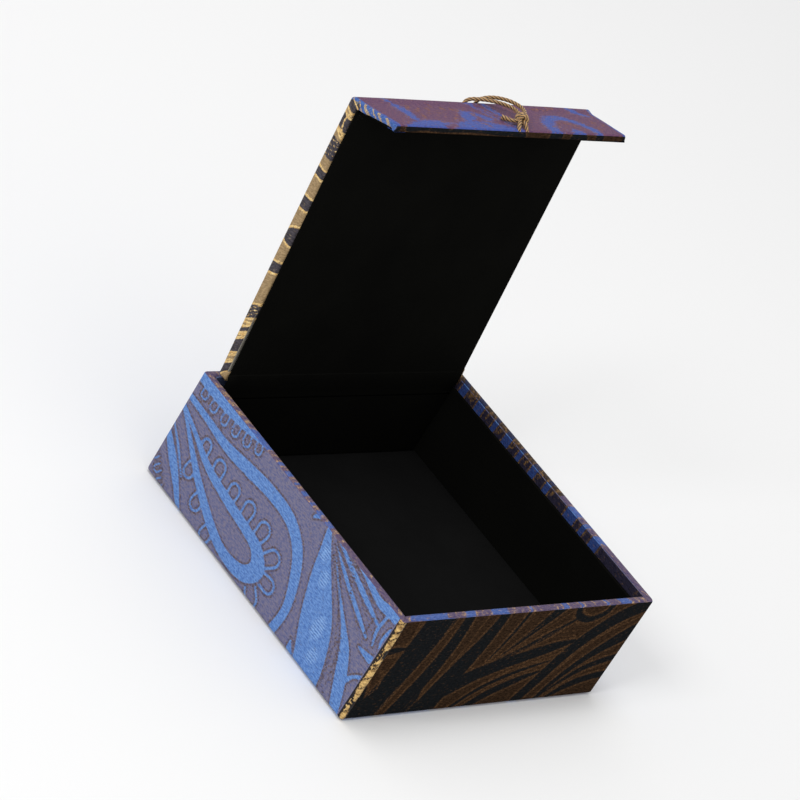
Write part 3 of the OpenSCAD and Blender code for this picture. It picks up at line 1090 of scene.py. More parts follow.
# The flap: across it from the middle, and distance from the fold.
FLAP_PATTERN = Pattern(
    [
        Band([(-42, 17.0, 3.0), (-36, 15.6, 4.6), (-29, 15.2, 6.0), (-22, 15.8, 4.4),
              (-14, 14.6, 6.6), (-6, 15.2, 6.4), (1, 16.6, 4.0), (4, 18, 2.0)]),
        Band([(-14, 12.4, 3.0), (-11, 8.4, 5.4), (-7, 6.4, 3.0), (-4, 9.6, 4.0)]),
        Band([(-35.8, 0, 1.6), (-34.4, 6, 4.0), (-35.2, 12, 3.4)]),
        Band([(-3.2, -1, 3.0), (-0.6, 5, 3.2), (2.4, 13, 2.6), (3.4, 16, 2.0)]),
        Band([(2.4, -1, 2.4), (3.6, 4, 3.2), (4.2, 9, 2.0)]),
        Band([(17.2, 19, 5.2), (18.6, 13.0, 5.4), (22.2, 8.2, 4.6), (27.0, 6.6, 3.6),
              (31.8, 8.4, 3.6), (35.2, 12.6, 3.6), (35.8, 19, 3.4)]),
        Band([(24.6, 19, 3.0), (27.0, 15.6, 3.6), (29.6, 19, 3.0)]),
        Band([(36, -1, 2.0), (39.6, 2.4, 3.0), (43, 4.6, 1.4)]),
        Band([(-26, 16.6, 1.2), (-22.6, 15.2, 1.8)], Part.GROUND),
        Band([(-1.8, 2, 0.5), (0.6, 8, 0.6), (2.4, 13, 0.4)], Part.GROUND),
        Band([(-31, 4, 0.3), (-29.4, 8, 0.5), (-31, 12, 0.3)], Part.LINE),
        Band([(-27.6, 6.4, 1.2), (-25.6, 7.4, 1.0)], Part.LINE),
        Band([(-24, 6.0, 0.9), (-20, 8.8, 0.6), (-17.4, 10.0, 1.0)], Part.LINE),
        Band([(-15.4, 9, 0.7), (-13.6, 5, 1.0), (-12.8, 3, 0.5)], Part.LINE),
        Band([(-21, 2.6, 0.6), (-17, 4.4, 0.4)], Part.LINE),
        Band([(-8.6, 3.4, 0.4), (-6.4, 6, 0.5), (-9.6, 8.4, 0.4)], Part.LINE),
        Band([(-9.4, 12, 0.8), (-8.6, 15, 0.5)], Part.LINE),
        Band([(11, 2, 0.3), (13.4, 9, 0.4)], Part.LINE),
        Band([(20.4, 12.6, 0.6), (24.4, 10.4, 0.8), (29, 10.8, 0.8), (31.6, 14, 0.6)], Part.LINE),
        Band([(20, 2, 0.3), (31, 1.4, 0.4)], Part.LINE),
        Band([(38.4, 16, 0.3), (41, 9, 0.4), (44, 10.6, 0.4)], Part.LINE),
    ],
    line_mm=0.4,
)

# The flap's ends: distance from the fold, and from the edge of its face.
FLAP_END_PATTERN = Pattern(
    [
        Band([(-2, 3, 12), (20, 3, 12)], outlined=False),
        *[
            Band([(v - 1.4, -0.6, 0.3), (v, 1.4, w), (v + 2.6, 4.4, w), (v + 4.0, 8, 0.3)],
                 Part.LINE)
            for v, w in ((0.4, 0.7), (2.8, 0.4), (5.0, 0.9), (8.0, 0.5), (10.2, 0.8), (13.4, 0.9))
        ],
    ],
    line_mm=0.3,
)

# The lid's face: across it from the middle, and distance from the fold. It is out of sight in
# the picture, so the walls' paisley lies on it twice, head to foot, as the cloth repeats.
LID_PATTERN = Pattern(
    [
        *[stroke.placed((-49, 3), 0) for stroke in PAISLEY],
        *[stroke.placed((49, 80), 180) for stroke in PAISLEY],
        Band([(-48, 85.6, 2), (-24, 83.6, 3), (0, 84.8, 3.4), (24, 87.0, 3), (48, 84, 2)]),
    ]
)

# The fans as they run along a front or a back wall.
FANS = [
    Band([(15.0, 37, 12.0), (13.6, 28, 11.4), (11.4, 16, 9.8), (8.4, 5, 10.4), (6.6, -1, 11)]),
    Band([(25.6, 37, 3.8), (25.5, 26, 4.8), (23.4, 14, 5.8), (20.4, 5, 6.0), (18.4, -1, 6.4)]),
    Band([(39.8, 37, 3.6), (38.2, 27, 5.4), (34.8, 16, 7.8), (31.6, 6, 9.0), (29.6, -1, 9.4)]),
    Band([(49.6, 37, 1.4), (47.6, 27, 1.3), (44.5, 18, 0.7)]),
    Band([(62.5, 37, 4.8), (56.5, 28.5, 2.6), (49.0, 19.5, 0.7)]),
    Band([(71, 31, 1.0), (63, 25.4, 2.2), (55, 20.6, 1.6), (48.5, 17.6, 0.5)]),
    Band([(30, 3, 4), (37, 9.0, 6.0), (46, 13.8, 5.6), (58, 17.6, 4.6), (68, 20.4, 4.0),
          (76, 22.4, 1.5)]),
    Band([(40, -1, 1.2), (48, 6.4, 1.6), (58, 11.4, 1.6), (68, 14.4, 1.0), (73, 15.4, 0.4)]),
    Band([(46, -1, 2.6), (54, 4.8, 3.2), (63, 9.0, 2.6), (70, 11.4, 0.8)]),
    Band([(66.5, -1, 4.2), (71.4, 8, 4.6), (76, 17, 5.0), (82.5, 25, 5.4), (91, 31.4, 5.6),
          (102, 35.4, 5.0)]),
    Band([(75, -1, 2.0), (80.5, 8.6, 2.4), (88, 16.4, 3.4), (96, 22.2, 5.2), (102, 25.6, 6.0)]),
    Band([(78, 2.5, 0.6), (86, 9.6, 2.2), (94, 13.0, 2.6), (102, 14.8, 2.4)]),
    Band([(78, -1, 0.8), (86, 4.4, 2.8), (94, 7.0, 2.8), (102, 7.8, 2.6)]),
    Band([(68.6, 37, 2.2), (70.6, 32.6, 2.4), (76, 30.4, 2.4), (81.6, 32.4, 2.4),
          (83.6, 37, 2.2)]),
    Band([(0.5, 24.4, 2.8), (4.6, 25.0, 2.2), (8.6, 25.4, 0.6)]),
    Band([(58.0, 30.2, 0.3), (52.4, 24.4, 0.4), (49.8, 20.6, 0.3)], Part.LINE),
    Band([(68.6, 28.6, 0.3), (60.0, 23.0, 0.4), (53.0, 19.4, 0.3)], Part.LINE),
    Band([(20, 36, 0.5), (18.6, 22, 0.6), (14, 8, 0.6), (12, 0, 0.5)], Part.LINE),
    Band([(33, 36, 0.6), (31.4, 22, 0.7), (27, 8, 0.6), (24, 0, 0.6)], Part.LINE),
    Band([(52, 36, 0.4), (46, 18, 0.4)], Part.LINE),
    Band([(59, 36, 0.4), (47, 18, 0.4)], Part.LINE),
    Band([(67, 34, 0.4), (50, 18.6, 0.4)], Part.LINE),
    Band([(38, -1, 0.6), (50, 9.4, 0.7), (60, 14, 0.7), (76, 18.6, 0.6)], Part.LINE),
    Band([(70, 0, 0.6), (78, 13, 0.8), (86, 23, 0.8), (100, 30.6, 0.7)], Part.LINE),
    Band([(62, 27.6, 0.3), (78, 28.6, 0.3)], Part.LINE),
    Band([(60, 26.0, 0.3), (77, 26.6, 0.3)], Part.LINE),
    Band([(59, 24.4, 0.3), (75, 24.6, 0.3)], Part.LINE),
]

# The front wall's fans, with more dark bands and outlines at its lower left, which make it darker
# there.
FRONT_FANS = [
    *FANS,
    Band([(-0.6, 15, 2.6), (1.4, 8, 4.4), (2.6, -1, 6.4)]),
    Band([(24.8, 9, 0.6), (24.6, 3, 3.0), (23.4, -1, 4.4)]),
    Band([(1.4, 22.4, 0.5), (5.0, 22.6, 0.8), (7.6, 24.0, 0.5)], Part.LINE),
    Band([(2.4, 18.4, 0.5), (5.4, 15.8, 0.9), (6.2, 11.4, 0.7), (4.6, 8.6, 0.5)], Part.LINE),
    Band([(6.6, 35.6, 0.5), (7.4, 30.6, 0.7), (6.8, 27.0, 0.7), (2.0, 26.6, 0.6)], Part.LINE),
]

# Each wall's pattern and its rim's, in the cloth's order: back, left, front and right.
WALL_PATTERNS = [
    (Pattern(FANS), Pattern(FRONT_RIM)),
    (Pattern(PAISLEY), Pattern(LEFT_RIM)),
    (Pattern(FRONT_FANS, line_mm=0.8), Pattern(FRONT_RIM)),
    (Pattern(PAISLEY), Pattern(RIGHT_RIM)),
]


@dataclass
class Tray:
    """The tray: wrapped walls, bottom sheet, linings and the padded insert."""

    cloth: float = 0.4
    edge_r: float = 0.8
    corner_r: float = 1.0
    inner_corner_r: float = 0.25
    turn_in: float = 12.0
    turn_under: float = 10.0
    pitch: float = 1.7
    cuts: int = 2
    # The gold edge's reach, partly painted highlight, on the left wall and on the front wall, and
    # its drawing's past that.
    gold_edge: Point2 = (1.3, 1.4)
    gold_margin: float = 0.4
    # How deep and how wide the cloth is crumpled at the gold edge.
    crumple: float = 0.14
    crumple_reach: float = 1.6
    # How deep and how wide the mitre's crease is at the rim's corners.
    mitre: float = 0.18
    mitre_reach: float = 0.5
    # The rim's pattern starts this far under the top, and its far stretch behind this place.
    rim_drop: float = 0.3
    far_rim_y: float = -6.0
    looks: Sequence[Threads] = (
        Threads.LIT_WALL, Threads.SHADED_WALL, Threads.RIM, Threads.CORNER, Threads.INSIDE,
        Threads.FAR_RIM,
    )
    low: Vector = field(default_factory=lambda: node_box("wall_brocade")[0])
    high: Vector = field(default_factory=lambda: node_box("wall_brocade")[1])
    wall: float = field(
        default_factory=lambda: node_box("wall_brocade")[1].x - node_box("right_lining_cloth")[1].x
    )

    def __post_init__(self) -> None:
        """Works out the outer size, and where each wall starts in the cloth's order."""
        self.size = [high - low for low, high in zip(self.low, self.high, strict=True)]
        width, depth, _ = self.size
        self.starts = np.cumsum([0, width, depth, width, depth])
        self.front_start = width + depth

    def plan(self, s: Array, inset: Array) -> Array:
        """Walks round the tray's outline, drawn in by a distance.

        Args:
            s: Distance round the outer outline from the back right corner: back wall, left
                wall, front wall and right wall.
            inset: How far in from the outline each place lies.

        Returns:
            Places in plan.
        """
        low, high = self.low, self.high
        walls = [
            ((high.x, high.y), (-1, 0)),
            ((low.x, high.y), (0, -1)),
            ((low.x, low.y), (1, 0)),
            ((high.x, low.y), (0, 1)),
        ]
        place = np.zeros((len(s), 2))
        for k, (corner, direction) in enumerate(walls):
            here = self.wall_of(s) == k
            u, q = s[here] - self.starts[k], inset[here]
            way = np.array(direction, float)
            inward = np.array([-way[1], way[0]])
            length = self.size[k % 2]
            radius = np.maximum(self.corner_r - q, self.inner_corner_r)
            share = np.clip((u - self.corner_r) / (length - 2 * self.corner_r), 0, 1)
            run = radius + share * (length - 2 * q - 2 * radius)
            before = np.radians(45) * np.clip(1 - u / self.corner_r, 0, 1)
            after = np.radians(45) * np.clip((u - length) / self.corner_r + 1, 0, 1)
            x = q + run + radius * np.sin(after - before)
            y = q + radius * (1 - np.cos(after - before))
            place[here] = np.array(corner) + x[:, None] * way + y[:, None] * inward
        return place

    def wall_of(self, s: Array) -> Array:
        """Gives the number of the wall at each distance round the outline."""
        return np.clip(np.searchsorted(self.starts, s, side="right") - 1, 0, 3)

    def section(self) -> Rail:
        """Draws the wall's section.

        Returns:
            The section as inset and height, from under the base to inside.
        """
        top, bottom = self.high.z, self.low.z
        corners = [
            (self.edge_r + self.turn_under, bottom),
            (0, bottom),
            (0, top),
            (self.wall, top),
            (self.wall, top - self.turn_in),
        ]
        return Rail(corners, corners, [0, self.edge_r, self.edge_r, self.edge_r, 0])

    def cut_cloth(self) -> Mesh:
        """Cuts the strip that goes round the walls, flat, with knots at its folds.

        Returns:
            The strip: X runs round the walls, and Y from under the base to inside.
        """
        arc = quarter(self.edge_r)
        round_walls = []
        for k in range(4):
            straight = self.size[k % 2] - 2 * self.corner_r
            round_walls += [(self.corner_r, 0.5), (straight, self.pitch), (self.corner_r, 0.5)]
        up = [
            (self.turn_under, 5.0),
            (arc, arc / 2),
            (self.size[2] - 2 * self.edge_r, self.pitch),
            (arc, arc / 2),
            (self.wall - 2 * self.edge_r, 0.8),
            (arc, arc / 2),
            (self.turn_in - self.edge_r, 2.3),
        ]
        sheet = flat_sheet(knots(round_walls), knots(up), self.cloth, self.cuts)
        return sheet_mesh(sheet, "wall_cloth")

    def fold(self, flat: Array) -> Array:
        """Folds the strip round the boards.

        Args:
            flat: The flat strip's points.

        Returns:
            Their places on the tray.
        """
        s, t, down = flat.T
        section = self.section()
        line, _ = section.point(t)
        face = section.normal(t)
        # The normal points out of the cloth's face, and the cloth's back lies the other way.
        inset = line[:, 0] + face[:, 0] * down
        height = line[:, 1] + face[:, 1] * down
        # The front left edge is slightly crumpled, where the cloth was worked round it. The
        # three waves along it are 1.3 to 3.7 mm long, and add up to 2.6 at most.
        from_edge = s - self.front_start
        bumps = np.sin(1.7 * t) + np.sin(2.9 * t + 1.3) + 0.6 * np.sin(4.7 * t + from_edge)
        inset = inset - self.crumple * bumps / 2.6 * bell(from_edge / self.crumple_reach)
        # The cloth is mitred at each corner of the rim, which leaves a slight crease there.
        to_corner = np.abs(s[:, None] - self.starts[None, :]).min(1)
        on_rim = np.clip((line[:, 1] - self.high.z) / self.mitre_reach + 1, 0, 1)
        height = height - self.mitre * on_rim * bell(to_corner / self.mitre_reach)
        return np.column_stack([self.plan(s, np.maximum(inset, -self.crumple)), height])

    def weave(self, mesh: Mesh, s: Array, t: Array) -> None:
        """Draws each wall's pattern, its rim's and the gold edge's on the strip.

        Args:
            mesh: The strip.
            s: Each point's distance round the walls.
            t: Its distance up the strip.
        """
        wall = self.wall_of(s)
        u, v = s - self.starts[wall], self.height_of(t)
        below = v < self.size[2] - self.rim_drop
        motif, outline = np.zeros((2, len(s)))
        for k, patterns in enumerate(WALL_PATTERNS):
            for pattern, part in zip(patterns, (below, ~below), strict=True):
                here = (wall == k) & part
                motif[here], outline[here] = pattern.weave(np.column_stack([u[here], v[here]]))
        from_edge = s - self.front_start
        left, front = self.gold_edge
        near = below & (from_edge > -left - self.gold_margin)
        near &= from_edge < front + self.gold_margin
        at_edge = np.column_stack([from_edge[near], v[near]])
        motif[near], outline[near] = CORNER_PATTERN.weave(at_edge)
        # Each oval of satin, a painted highlight that only the lit left wall gets, fades out over
        # its outer part.
        floated = np.zeros(len(s))
        for along, high, wide, tall in SATIN:
            away = ((u - along) / wide) ** 2 + ((v - high) / tall) ** 2
            floated = np.maximum(floated, smooth_step(1.6 - 1.6 * away))
        write_attribute(mesh, "cloth", np.column_stack([s, t, 0 * s]))
        write_attribute(mesh, "motif", motif)
        write_attribute(mesh, "line", outline)
        write_attribute(mesh, "satin", floated * (wall == 1) * (motif < 0))

    def height_of(self, t: Array) -> Array:
        """Gives the height on the wall for distances up the strip; past the top it goes on."""
        return t - self.turn_under - quarter(self.edge_r) + self.edge_r

    def look_of(self, polygon: bpy.types.MeshPolygon, from_edge: float, inside: bool) -> Threads:
        """Chooses a face's colours for the way it turns.

        Args:
            polygon: A face of the wrapped strip.
            from_edge: Its distance round the tray from the front left edge.
            inside: Whether it is turned in behind the rim.

        Returns:
            The threads that it shows.
        """
        normal, centre = polygon.normal, polygon.center / MM
        # The hem inside the box gets its painted shade copy.
        if inside and normal.z < 0.6:
            return Threads.INSIDE
        # Faces turned up get the rim's copy, painted as lit from above; its far stretch beside the
        # lid gets painted shade.
        if normal.z > 0.5:
            far = centre.x > self.high.x - self.wall and centre.y > self.far_rim_y
            return Threads.FAR_RIM if far else Threads.RIM
        # The front left corner gets the gold look, partly painted highlight.
        if -self.gold_edge[0] < from_edge < self.gold_edge[1]:
            return Threads.CORNER
        # Faces turned to the front get the painted shade copy, and the rest the lit copy.
        return Threads.SHADED_WALL if normal.y < -0.7 and centre.y < 0 else Threads.LIT_WALL

    def wrap(self) -> Object:
        """Wraps the walls in one strip of brocade.

        Returns:
            The brocade, riding on the tray.
        """
        mesh = self.cut_cloth()
        flat = read_points(mesh)
        s, t = flat[:, 0], flat[:, 1]
        write_points(mesh, self.fold(flat) * MM)
        self.weave(mesh, s, t)
        shade_smooth(mesh)
        piece = make_piece("tray_brocade", mesh, [look.value for look in self.looks])
        from_edge = s - self.front_start
        inside = self.height_of(t) > self.size[2] + self.wall - self.rim_drop
        for polygon in mesh.polygons:
            points = list(polygon.vertices)
            look = self.look_of(polygon, from_edge[points].mean(), inside[points].all())
            polygon.material_index = self.looks.index(look)
        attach(piece, "tray")
        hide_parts("wall_brocade")
        return piece

    def dress_frame(self) -> None:
        """Gives the tray's CAD pieces their finishes."""
        dress_nodes(
            {
                GREYBOARD: ["base_board", "front_board", "back_board", "left_board", "right_board",
                            "left_lining_card", "right_lining_card", "pad_card",
                            "back_leaf_board"],
                LINING: ["front_lining", "left_lining_cloth", "right_lining_cloth",
                         "back_leaf_lining"],
                BOTTOM_PAPER: ["base_sheet"],
                FOAM: ["pad_foam"],
                Threads.LIT_WALL.value: ["back_leaf_brocade"],
            }
        )


@dataclass
class Pad:
    """The velvet covered foam pad on the tray's floor."""

    edge_r: float = 1.6
    # How much lower the top lies at its rim, and how uneven the foam is over what distance.
    crown: float = 0.3
    uneven: float = 0.12
    uneven_reach: float = 23
    # How far the sides draw in between the corners.
    dip: float = 0.35
    pitch: float = 2.4

    def build(self) -> Object:
        """Models the pad with a crowned top and sides that draw in between its corners.

        Returns:
            The pad, riding on the tray.
        """
        low, high = node_box("pad_velvet")
        size, middle = high - low, (low + high) / 2
        pad = bmesh.new()
        bmesh.ops.create_cube(pad, size=1)
        for vert in pad.verts:
            vert.co = Vector((vert.co[i] * size[i] for i in range(3))) + middle
        top = [e for e in pad.edges if all(v.co.z > high.z - 0.01 for v in e.verts)]
        bmesh.ops.bevel(
            pad, geom=top, offset=self.edge_r, segments=4, profile=0.5, affect="EDGES", material=-1
        )
        for axis in (0, 1):
            for k in range(1, round(size[axis] / self.pitch)):
                place, normal = Vector((0, 0, 0)), Vector((0, 0, 0))
                place[axis] = low[axis] + k * self.pitch
                normal[axis] = 1
                bmesh.ops.bisect_plane(
                    pad, geom=[*pad.verts, *pad.edges, *pad.faces], plane_co=place, plane_no=normal
                )
        on_side = 0.985
        for vert in pad.verts:
            u = (vert.co.x - middle.x) / size.x * 2
            v = (vert.co.y - middle.y) / size.y * 2
            if vert.co.z > low.z + 0.1:
                inland = (1 - u**4) * (1 - v**4)
                soft = noise.noise(Vector((vert.co.x, vert.co.y, 0)) / self.uneven_reach)
                vert.co.z += self.crown * (inland - 1) + self.uneven * soft * inland
            if abs(u) > on_side:
                vert.co.x -= math.copysign(self.dip * (1 - v * v), u)
            if abs(v) > on_side:
                vert.co.y -= math.copysign(self.dip * (1 - u * u), v)
        bmesh.ops.recalc_face_normals(pad, faces=list(pad.faces))
        bmesh.ops.scale(pad, vec=Vector((MM, MM, MM)), verts=list(pad.verts))
        mesh = sheet_mesh(pad, "pad")
        shade_smooth(mesh)
        piece = make_piece("insert_pad", mesh, [VELVET])
        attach(piece, "tray")
        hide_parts("pad_velvet")
        return piece


@dataclass
class Cover:
    """The lid and its flap in one brocade, with the linings over the folds."""

    lid_half: float = 47.0
    flap_half_top: float = 46.2
    flap_half_low: float = 45.6
    lid_t: float = 3.7
    flap_t: float = 2.4
    lining: float = 0.3
    cloth: float = 0.4
    edge_r: float = 0.8
    rise: float = 0.3
    hinge_gap: float = 0.65
    flap_tilt: float = 8.4
    flap_depth: float = 17.9
    # The wadding's crown, how much thinner it is at the corners, and over what length.
    crown: float = 0.8
    thinned: float = 0.35
    thinned_reach: float = 26
    # The hems at the sides and at the flap's free edge.
    turned_in: float = 3.0
    pitch: float = 1.5
    cuts: int = 2
    # Half the width and the thickness of the lining strips and of the brocade strip.
    hinge_lining: Point2 = (46.3, 0.12)
    hinge_brocade: Point2 = (46.2, 0.2)
    fold_lining: Point2 = (45.4, 0.12)
    looks: Sequence[Threads] = (
        Threads.LIT_WALL, Threads.FLAP, Threads.EDGE, Threads.SHADED_WALL, Threads.FLAP_END
    )

    def __post_init__(self) -> None:
        """Reads the hinge, the fold and the opening angle from the frame."""
        joints = {j["name"]: j for j in frame["joints"]}
        self.opening = math.radians(joints["lid_hinge"]["range_deg"][1])
        self.hinge = Vector(joints["lid_hinge"]["pos_m"]) / MM
        closed = self.lid_matrix().inverted() @ (Vector(joints["flap_fold"]["pos_m"]) / MM)
        self.fold = Vector((0, closed.y, closed.z))
        self.end_y = closed.y - self.flap_t
        self.length = -self.hinge_gap - self.end_y
        self.under = self.rise - self.lid_t
        self.deep = self.lid_t - self.lining
        self.arc = quarter(self.edge_r)
        self.side = self.deep - 2 * self.edge_r
        self.flat_half = self.lid_half - self.edge_r
        # Where the cloth over the fold starts and ends.
        self.bend = [
            self.lid_matrix() @ Vector((0, self.fold.y, self.fold.z - low)) for low in (0.05, 1.8)
        ]

    def lid_matrix(self) -> Matrix:
        """Gives the place of the open lid, whose crease is the origin."""
        return Matrix.Translation(self.hinge) @ Matrix.Rotation(-self.opening, 4, "X")

    def flap_matrix(self) -> Matrix:
        """Gives the place of the flap's own axes, whose origin is the inner fold."""
        tilt = Matrix.Rotation(-math.radians(self.flap_tilt), 4, "X")
        return self.lid_matrix() @ Matrix.Translation(self.fold) @ tilt

    def flap_point(self, across: float, from_fold: float, off: float) -> Vector:
        """Gives a point by the flap's outer face: across it, from the fold, and off it."""
        return self.flap_matrix() @ Vector((across, -self.flap_t - off, self.lid_t - from_fold))

    def profile(self) -> Rail:
        """Draws the cover's profile.

        Returns:
            The profile as Y and Z of the closed lid, from the hinge over the fold to the flap.
        """
        top, under = self.rise, self.under + self.lining
        tilt = math.radians(self.flap_tilt)

        def on_flap(y: float, z: float) -> Point2:
            """Turns a point of the flap's axes into the lid's.

            Args:
                y: The point's place off the fold, along the lid when the flap is straight.
                z: Its height over the fold.

            Returns:
                Its Y and Z in the closed lid's axes.
            """
            return (
                self.fold.y + y * math.cos(tilt) + z * math.sin(tilt),
                self.fold.z - y * math.sin(tilt) + z * math.cos(tilt),
            )

        back = -self.hinge_gap
        edge = self.lid_t - self.flap_depth
        stations = [
            ((back, under), (back, under), 0),
            ((back, top), (back - (top - under), under), self.edge_r),
            ((self.end_y, top), (self.fold.y, under), self.edge_r),
            ((self.end_y - 0.03, self.fold.z + 0.3), on_flap(-self.lining, -0.4), 2.0),
            (on_flap(-self.flap_t, edge), on_flap(-self.lining, edge + self.flap_t), self.edge_r),
            (on_flap(-self.lining, edge), on_flap(-self.lining, edge + 0.05), 0.6),
            (on_flap(-self.lining, edge + self.turned_in),) * 2 + (0,),
        ]
        return Rail(*zip(*stations, strict=True))

    def half_width(self, b: Array, outer: Array, length: float) -> Array:
        """Gives the cover's half width along its profile.

        Args:
            b: Distances along the profile.
            outer: The profile's points there.
            length: The profile's length.

        Returns:
            Half widths.
        """
        down = self.fold.z + self.lid_t - outer[:, 1]
        on_flap = outer[:, 0] < self.end_y + 1.2
        low = smooth_step((down - self.lid_t) / (self.flap_depth - self.lid_t))
        top = smooth_step(down / self.lid_t)
        narrowed = self.lid_half - (self.lid_half - self.flap_half_top) * top
        narrowed = narrowed - (self.flap_half_top - self.flap_half_low) * low
        return np.where(on_flap & (b > length / 2), narrowed, self.lid_half)

    def cut_cloth(self, rail: Rail) -> tuple[Mesh, float]:
        """Cuts the sheet that covers lid and flap, flat, with knots at its folds.

        Args:
            rail: The cover's profile.

        Returns:
            The sheet, whose X runs across it and Y along the profile from the hinge, and its
            width.
        """
        arc, flap_bend, flap_top = self.arc, 2.8, 1.6
        edge = [(self.turned_in, 3.0), (arc, arc / 2), (self.side, 0.9), (arc, arc / 2)]
        across = knots([*edge, (2 * self.flat_half, self.pitch), *reversed(edge)])
        rest = rail.length - self.deep - arc - self.length + 3 * self.edge_r
        along = knots(
            [
                (self.deep - self.edge_r, 0.9),
                (arc, arc / 2),
                (self.length - 2 * self.edge_r, self.pitch),
                (arc, arc / 3),
                (flap_bend, 0.7),
                (flap_top, 0.5),
                (rest - flap_bend - flap_top, 0.9),
            ]
        )
        along = [b * rail.length / along[-1] for b in along]
        sheet = flat_sheet(across, along, self.cloth, self.cuts)
        return sheet_mesh(sheet, "cover_cloth"), across[-1]

    def fold_over(self, a: Array, b: Array, down: Array, rail: Rail) -> Array:
        """Folds the sheet over the boards and the wadding.

        Args:
            a: Each point's distance across the sheet from its middle.
            b: Its distance along the profile.
            down: Its height in the cloth's thickness, 0 on the face and negative below.
            rail: The cover's profile.

        Returns:
            The points, in the closed lid's axes.
        """
        outer, inner = rail.point(b)
        half = self.half_width(b, outer, rail.length)
        span = np.linalg.norm(inner - outer, axis=1)
        on_flap = smooth_step((b - (rail.length - self.flap_depth)) / 4)
        deep = self.deep * (1 - on_flap) + (self.flap_t - self.lining) * on_flap
        # Across the sheet: the flat face, the eased edge, the side and the turned in hem.
        r, arc, side = self.edge_r, self.arc, self.side
        out = np.abs(a) - self.flat_half
        turn = np.clip(out / r, 0, math.pi / 2)
        under = np.clip((out - arc - side) / r, 0, math.pi / 2)
        hem = np.clip(out - 2 * arc - side, 0, None)
        past_face = half - r + r * np.sin(turn) - r * (1 - np.cos(under)) - hem
        x = np.where(out > 0, past_face, np.abs(a) / self.flat_half * (half - r))
        drop = r * (1 - np.cos(turn)) + np.clip(out - arc, 0, side) + r * np.sin(under)
        drop = drop / (2 * r + side) * deep
        # The cloth's own thickness points into the board at each place.
        lean = np.where(out > 0, turn + under, 0)
        x = x + down * np.sin(lean)
        drop = drop - down * np.cos(lean)
        share = np.clip(drop / np.maximum(span, 1e-6), 0, 1)
        plane = outer + (inner - outer) * share[:, None]
        # At the two ends of the profile there is no board to point into.
        plane = plane - rail.normal(b) * np.where(span < 0.5, down, 0)[:, None]
        # The wadding is highest in the middle, and thins towards the corners of the lid.
        u = np.clip(a / self.lid_half, -1, 1)
        middle = (-self.hinge_gap + self.end_y) / 2
        v = np.clip((outer[:, 0] - middle) / (self.length / 2), -1, 1)
        on_top = (outer[:, 1] > self.rise - 0.1) & (out <= 0)
        plane[:, 1] += self.crown * (1 - u * u) * (1 - v * v) * on_top
        to_end = np.minimum(np.abs(outer[:, 0] + self.hinge_gap), np.abs(outer[:, 0] - self.end_y))
        near_corner = np.clip(np.abs(u) * 3 - 2, 0, 1)
        pressed = np.clip(1 - to_end / self.thinned_reach, 0, 1) ** 2 * near_corner
        on_lid = np.clip((outer[:, 1] + 1.0) / 1.2, 0, 1) * np.clip(1 - drop / 2, 0, 1)
        plane[:, 1] -= self.thinned * pressed * on_lid
        return np.column_stack([np.sign(a) * x, plane])

    def weave(self, mesh: Mesh, a: Array, b: Array) -> None:
        """Draws the patterns of the lid, its edge, the flap and its ends on the sheet.

        Args:
            mesh: The sheet.
            a: Each point's distance across it from its middle.
            b: Its distance along the profile.
        """
        from_fold = self.deep + self.length - b
        on_side = (np.abs(a) > self.flat_half + self.arc * 0.5) & (from_fold > 0)
        on_end = (np.abs(a) > self.flat_half - 0.6) & (from_fold <= 0)
        in_from_side = np.abs(a) - self.flat_half
        regions = (
            (LID_PATTERN, (from_fold > 0) & ~on_side, (a, from_fold)),
            (LID_EDGE_PATTERN, on_side, (from_fold, in_from_side)),
            (FLAP_PATTERN, (from_fold <= 0) & ~on_end, (a, -from_fold)),
            (FLAP_END_PATTERN, on_end, (-from_fold, in_from_side)),
        )
        motif, line = np.full((2, len(a)), BARE)
        for pattern, here, at in regions:
            motif[here], line[here] = pattern.weave(np.column_stack(at)[here])
        write_attribute(mesh, "cloth", np.column_stack([a, b, 0 * a]))
        write_attribute(mesh, "motif", motif)
        write_attribute(mesh, "line", line)

    def look_of(self, x: float, y: float, z: float) -> Threads:
        """Chooses the colours of a face by its middle, in the closed lid's axes.

        Args:
            x: The middle's place across the lid.
            y: Its place from the hinge, negative towards the fold.
            z: Its height over the lid's crease.

        Returns:
            The threads that it shows.
        """
        # The margins take each side's colours part of the way round its eased edges.
        # The flap's free edge gets the painted shade copy.
        if z < 0.9 - self.flap_depth:
            return Threads.SHADED_WALL
        if y < self.end_y + 0.6 or z < self.fold.z - 0.4:
            return Threads.FLAP if abs(x) < self.flap_half_low - 0.2 else Threads.FLAP_END
        on_edge = abs(x) > self.lid_half - 0.5 or z < self.rise - 1.2
        return Threads.EDGE if on_edge else Threads.LIT_WALL

    def build(self) -> Object:
        """Folds one sheet of brocade over the lid and its flap.

        Returns:
            The brocade, folded from the lid over to the flap.
        """
        rail = self.profile()
        mesh, width = self.cut_cloth(rail)
        flat = read_points(mesh)
        a, b = flat[:, 0] - width / 2, flat[:, 1]
        place = np.array(self.lid_matrix())
        turn, shift = place[:3, :3], place[:3, 3]
        write_points(mesh, (self.fold_over(a, b, flat[:, 2], rail) @ turn.T + shift) * MM)
        self.weave(mesh, a, b)
        shade_smooth(mesh)
        piece = make_piece("cover_brocade", mesh, [look.value for look in self.looks])
        centres = np.array([p.center for p in mesh.polygons]) / MM
        for polygon, spot in zip(mesh.polygons, (centres - shift) @ turn, strict=True):
            polygon.material_index = self.looks.index(self.look_of(*spot))
        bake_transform(piece)
        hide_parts("lid_brocade", "flap_brocade")
        return piece

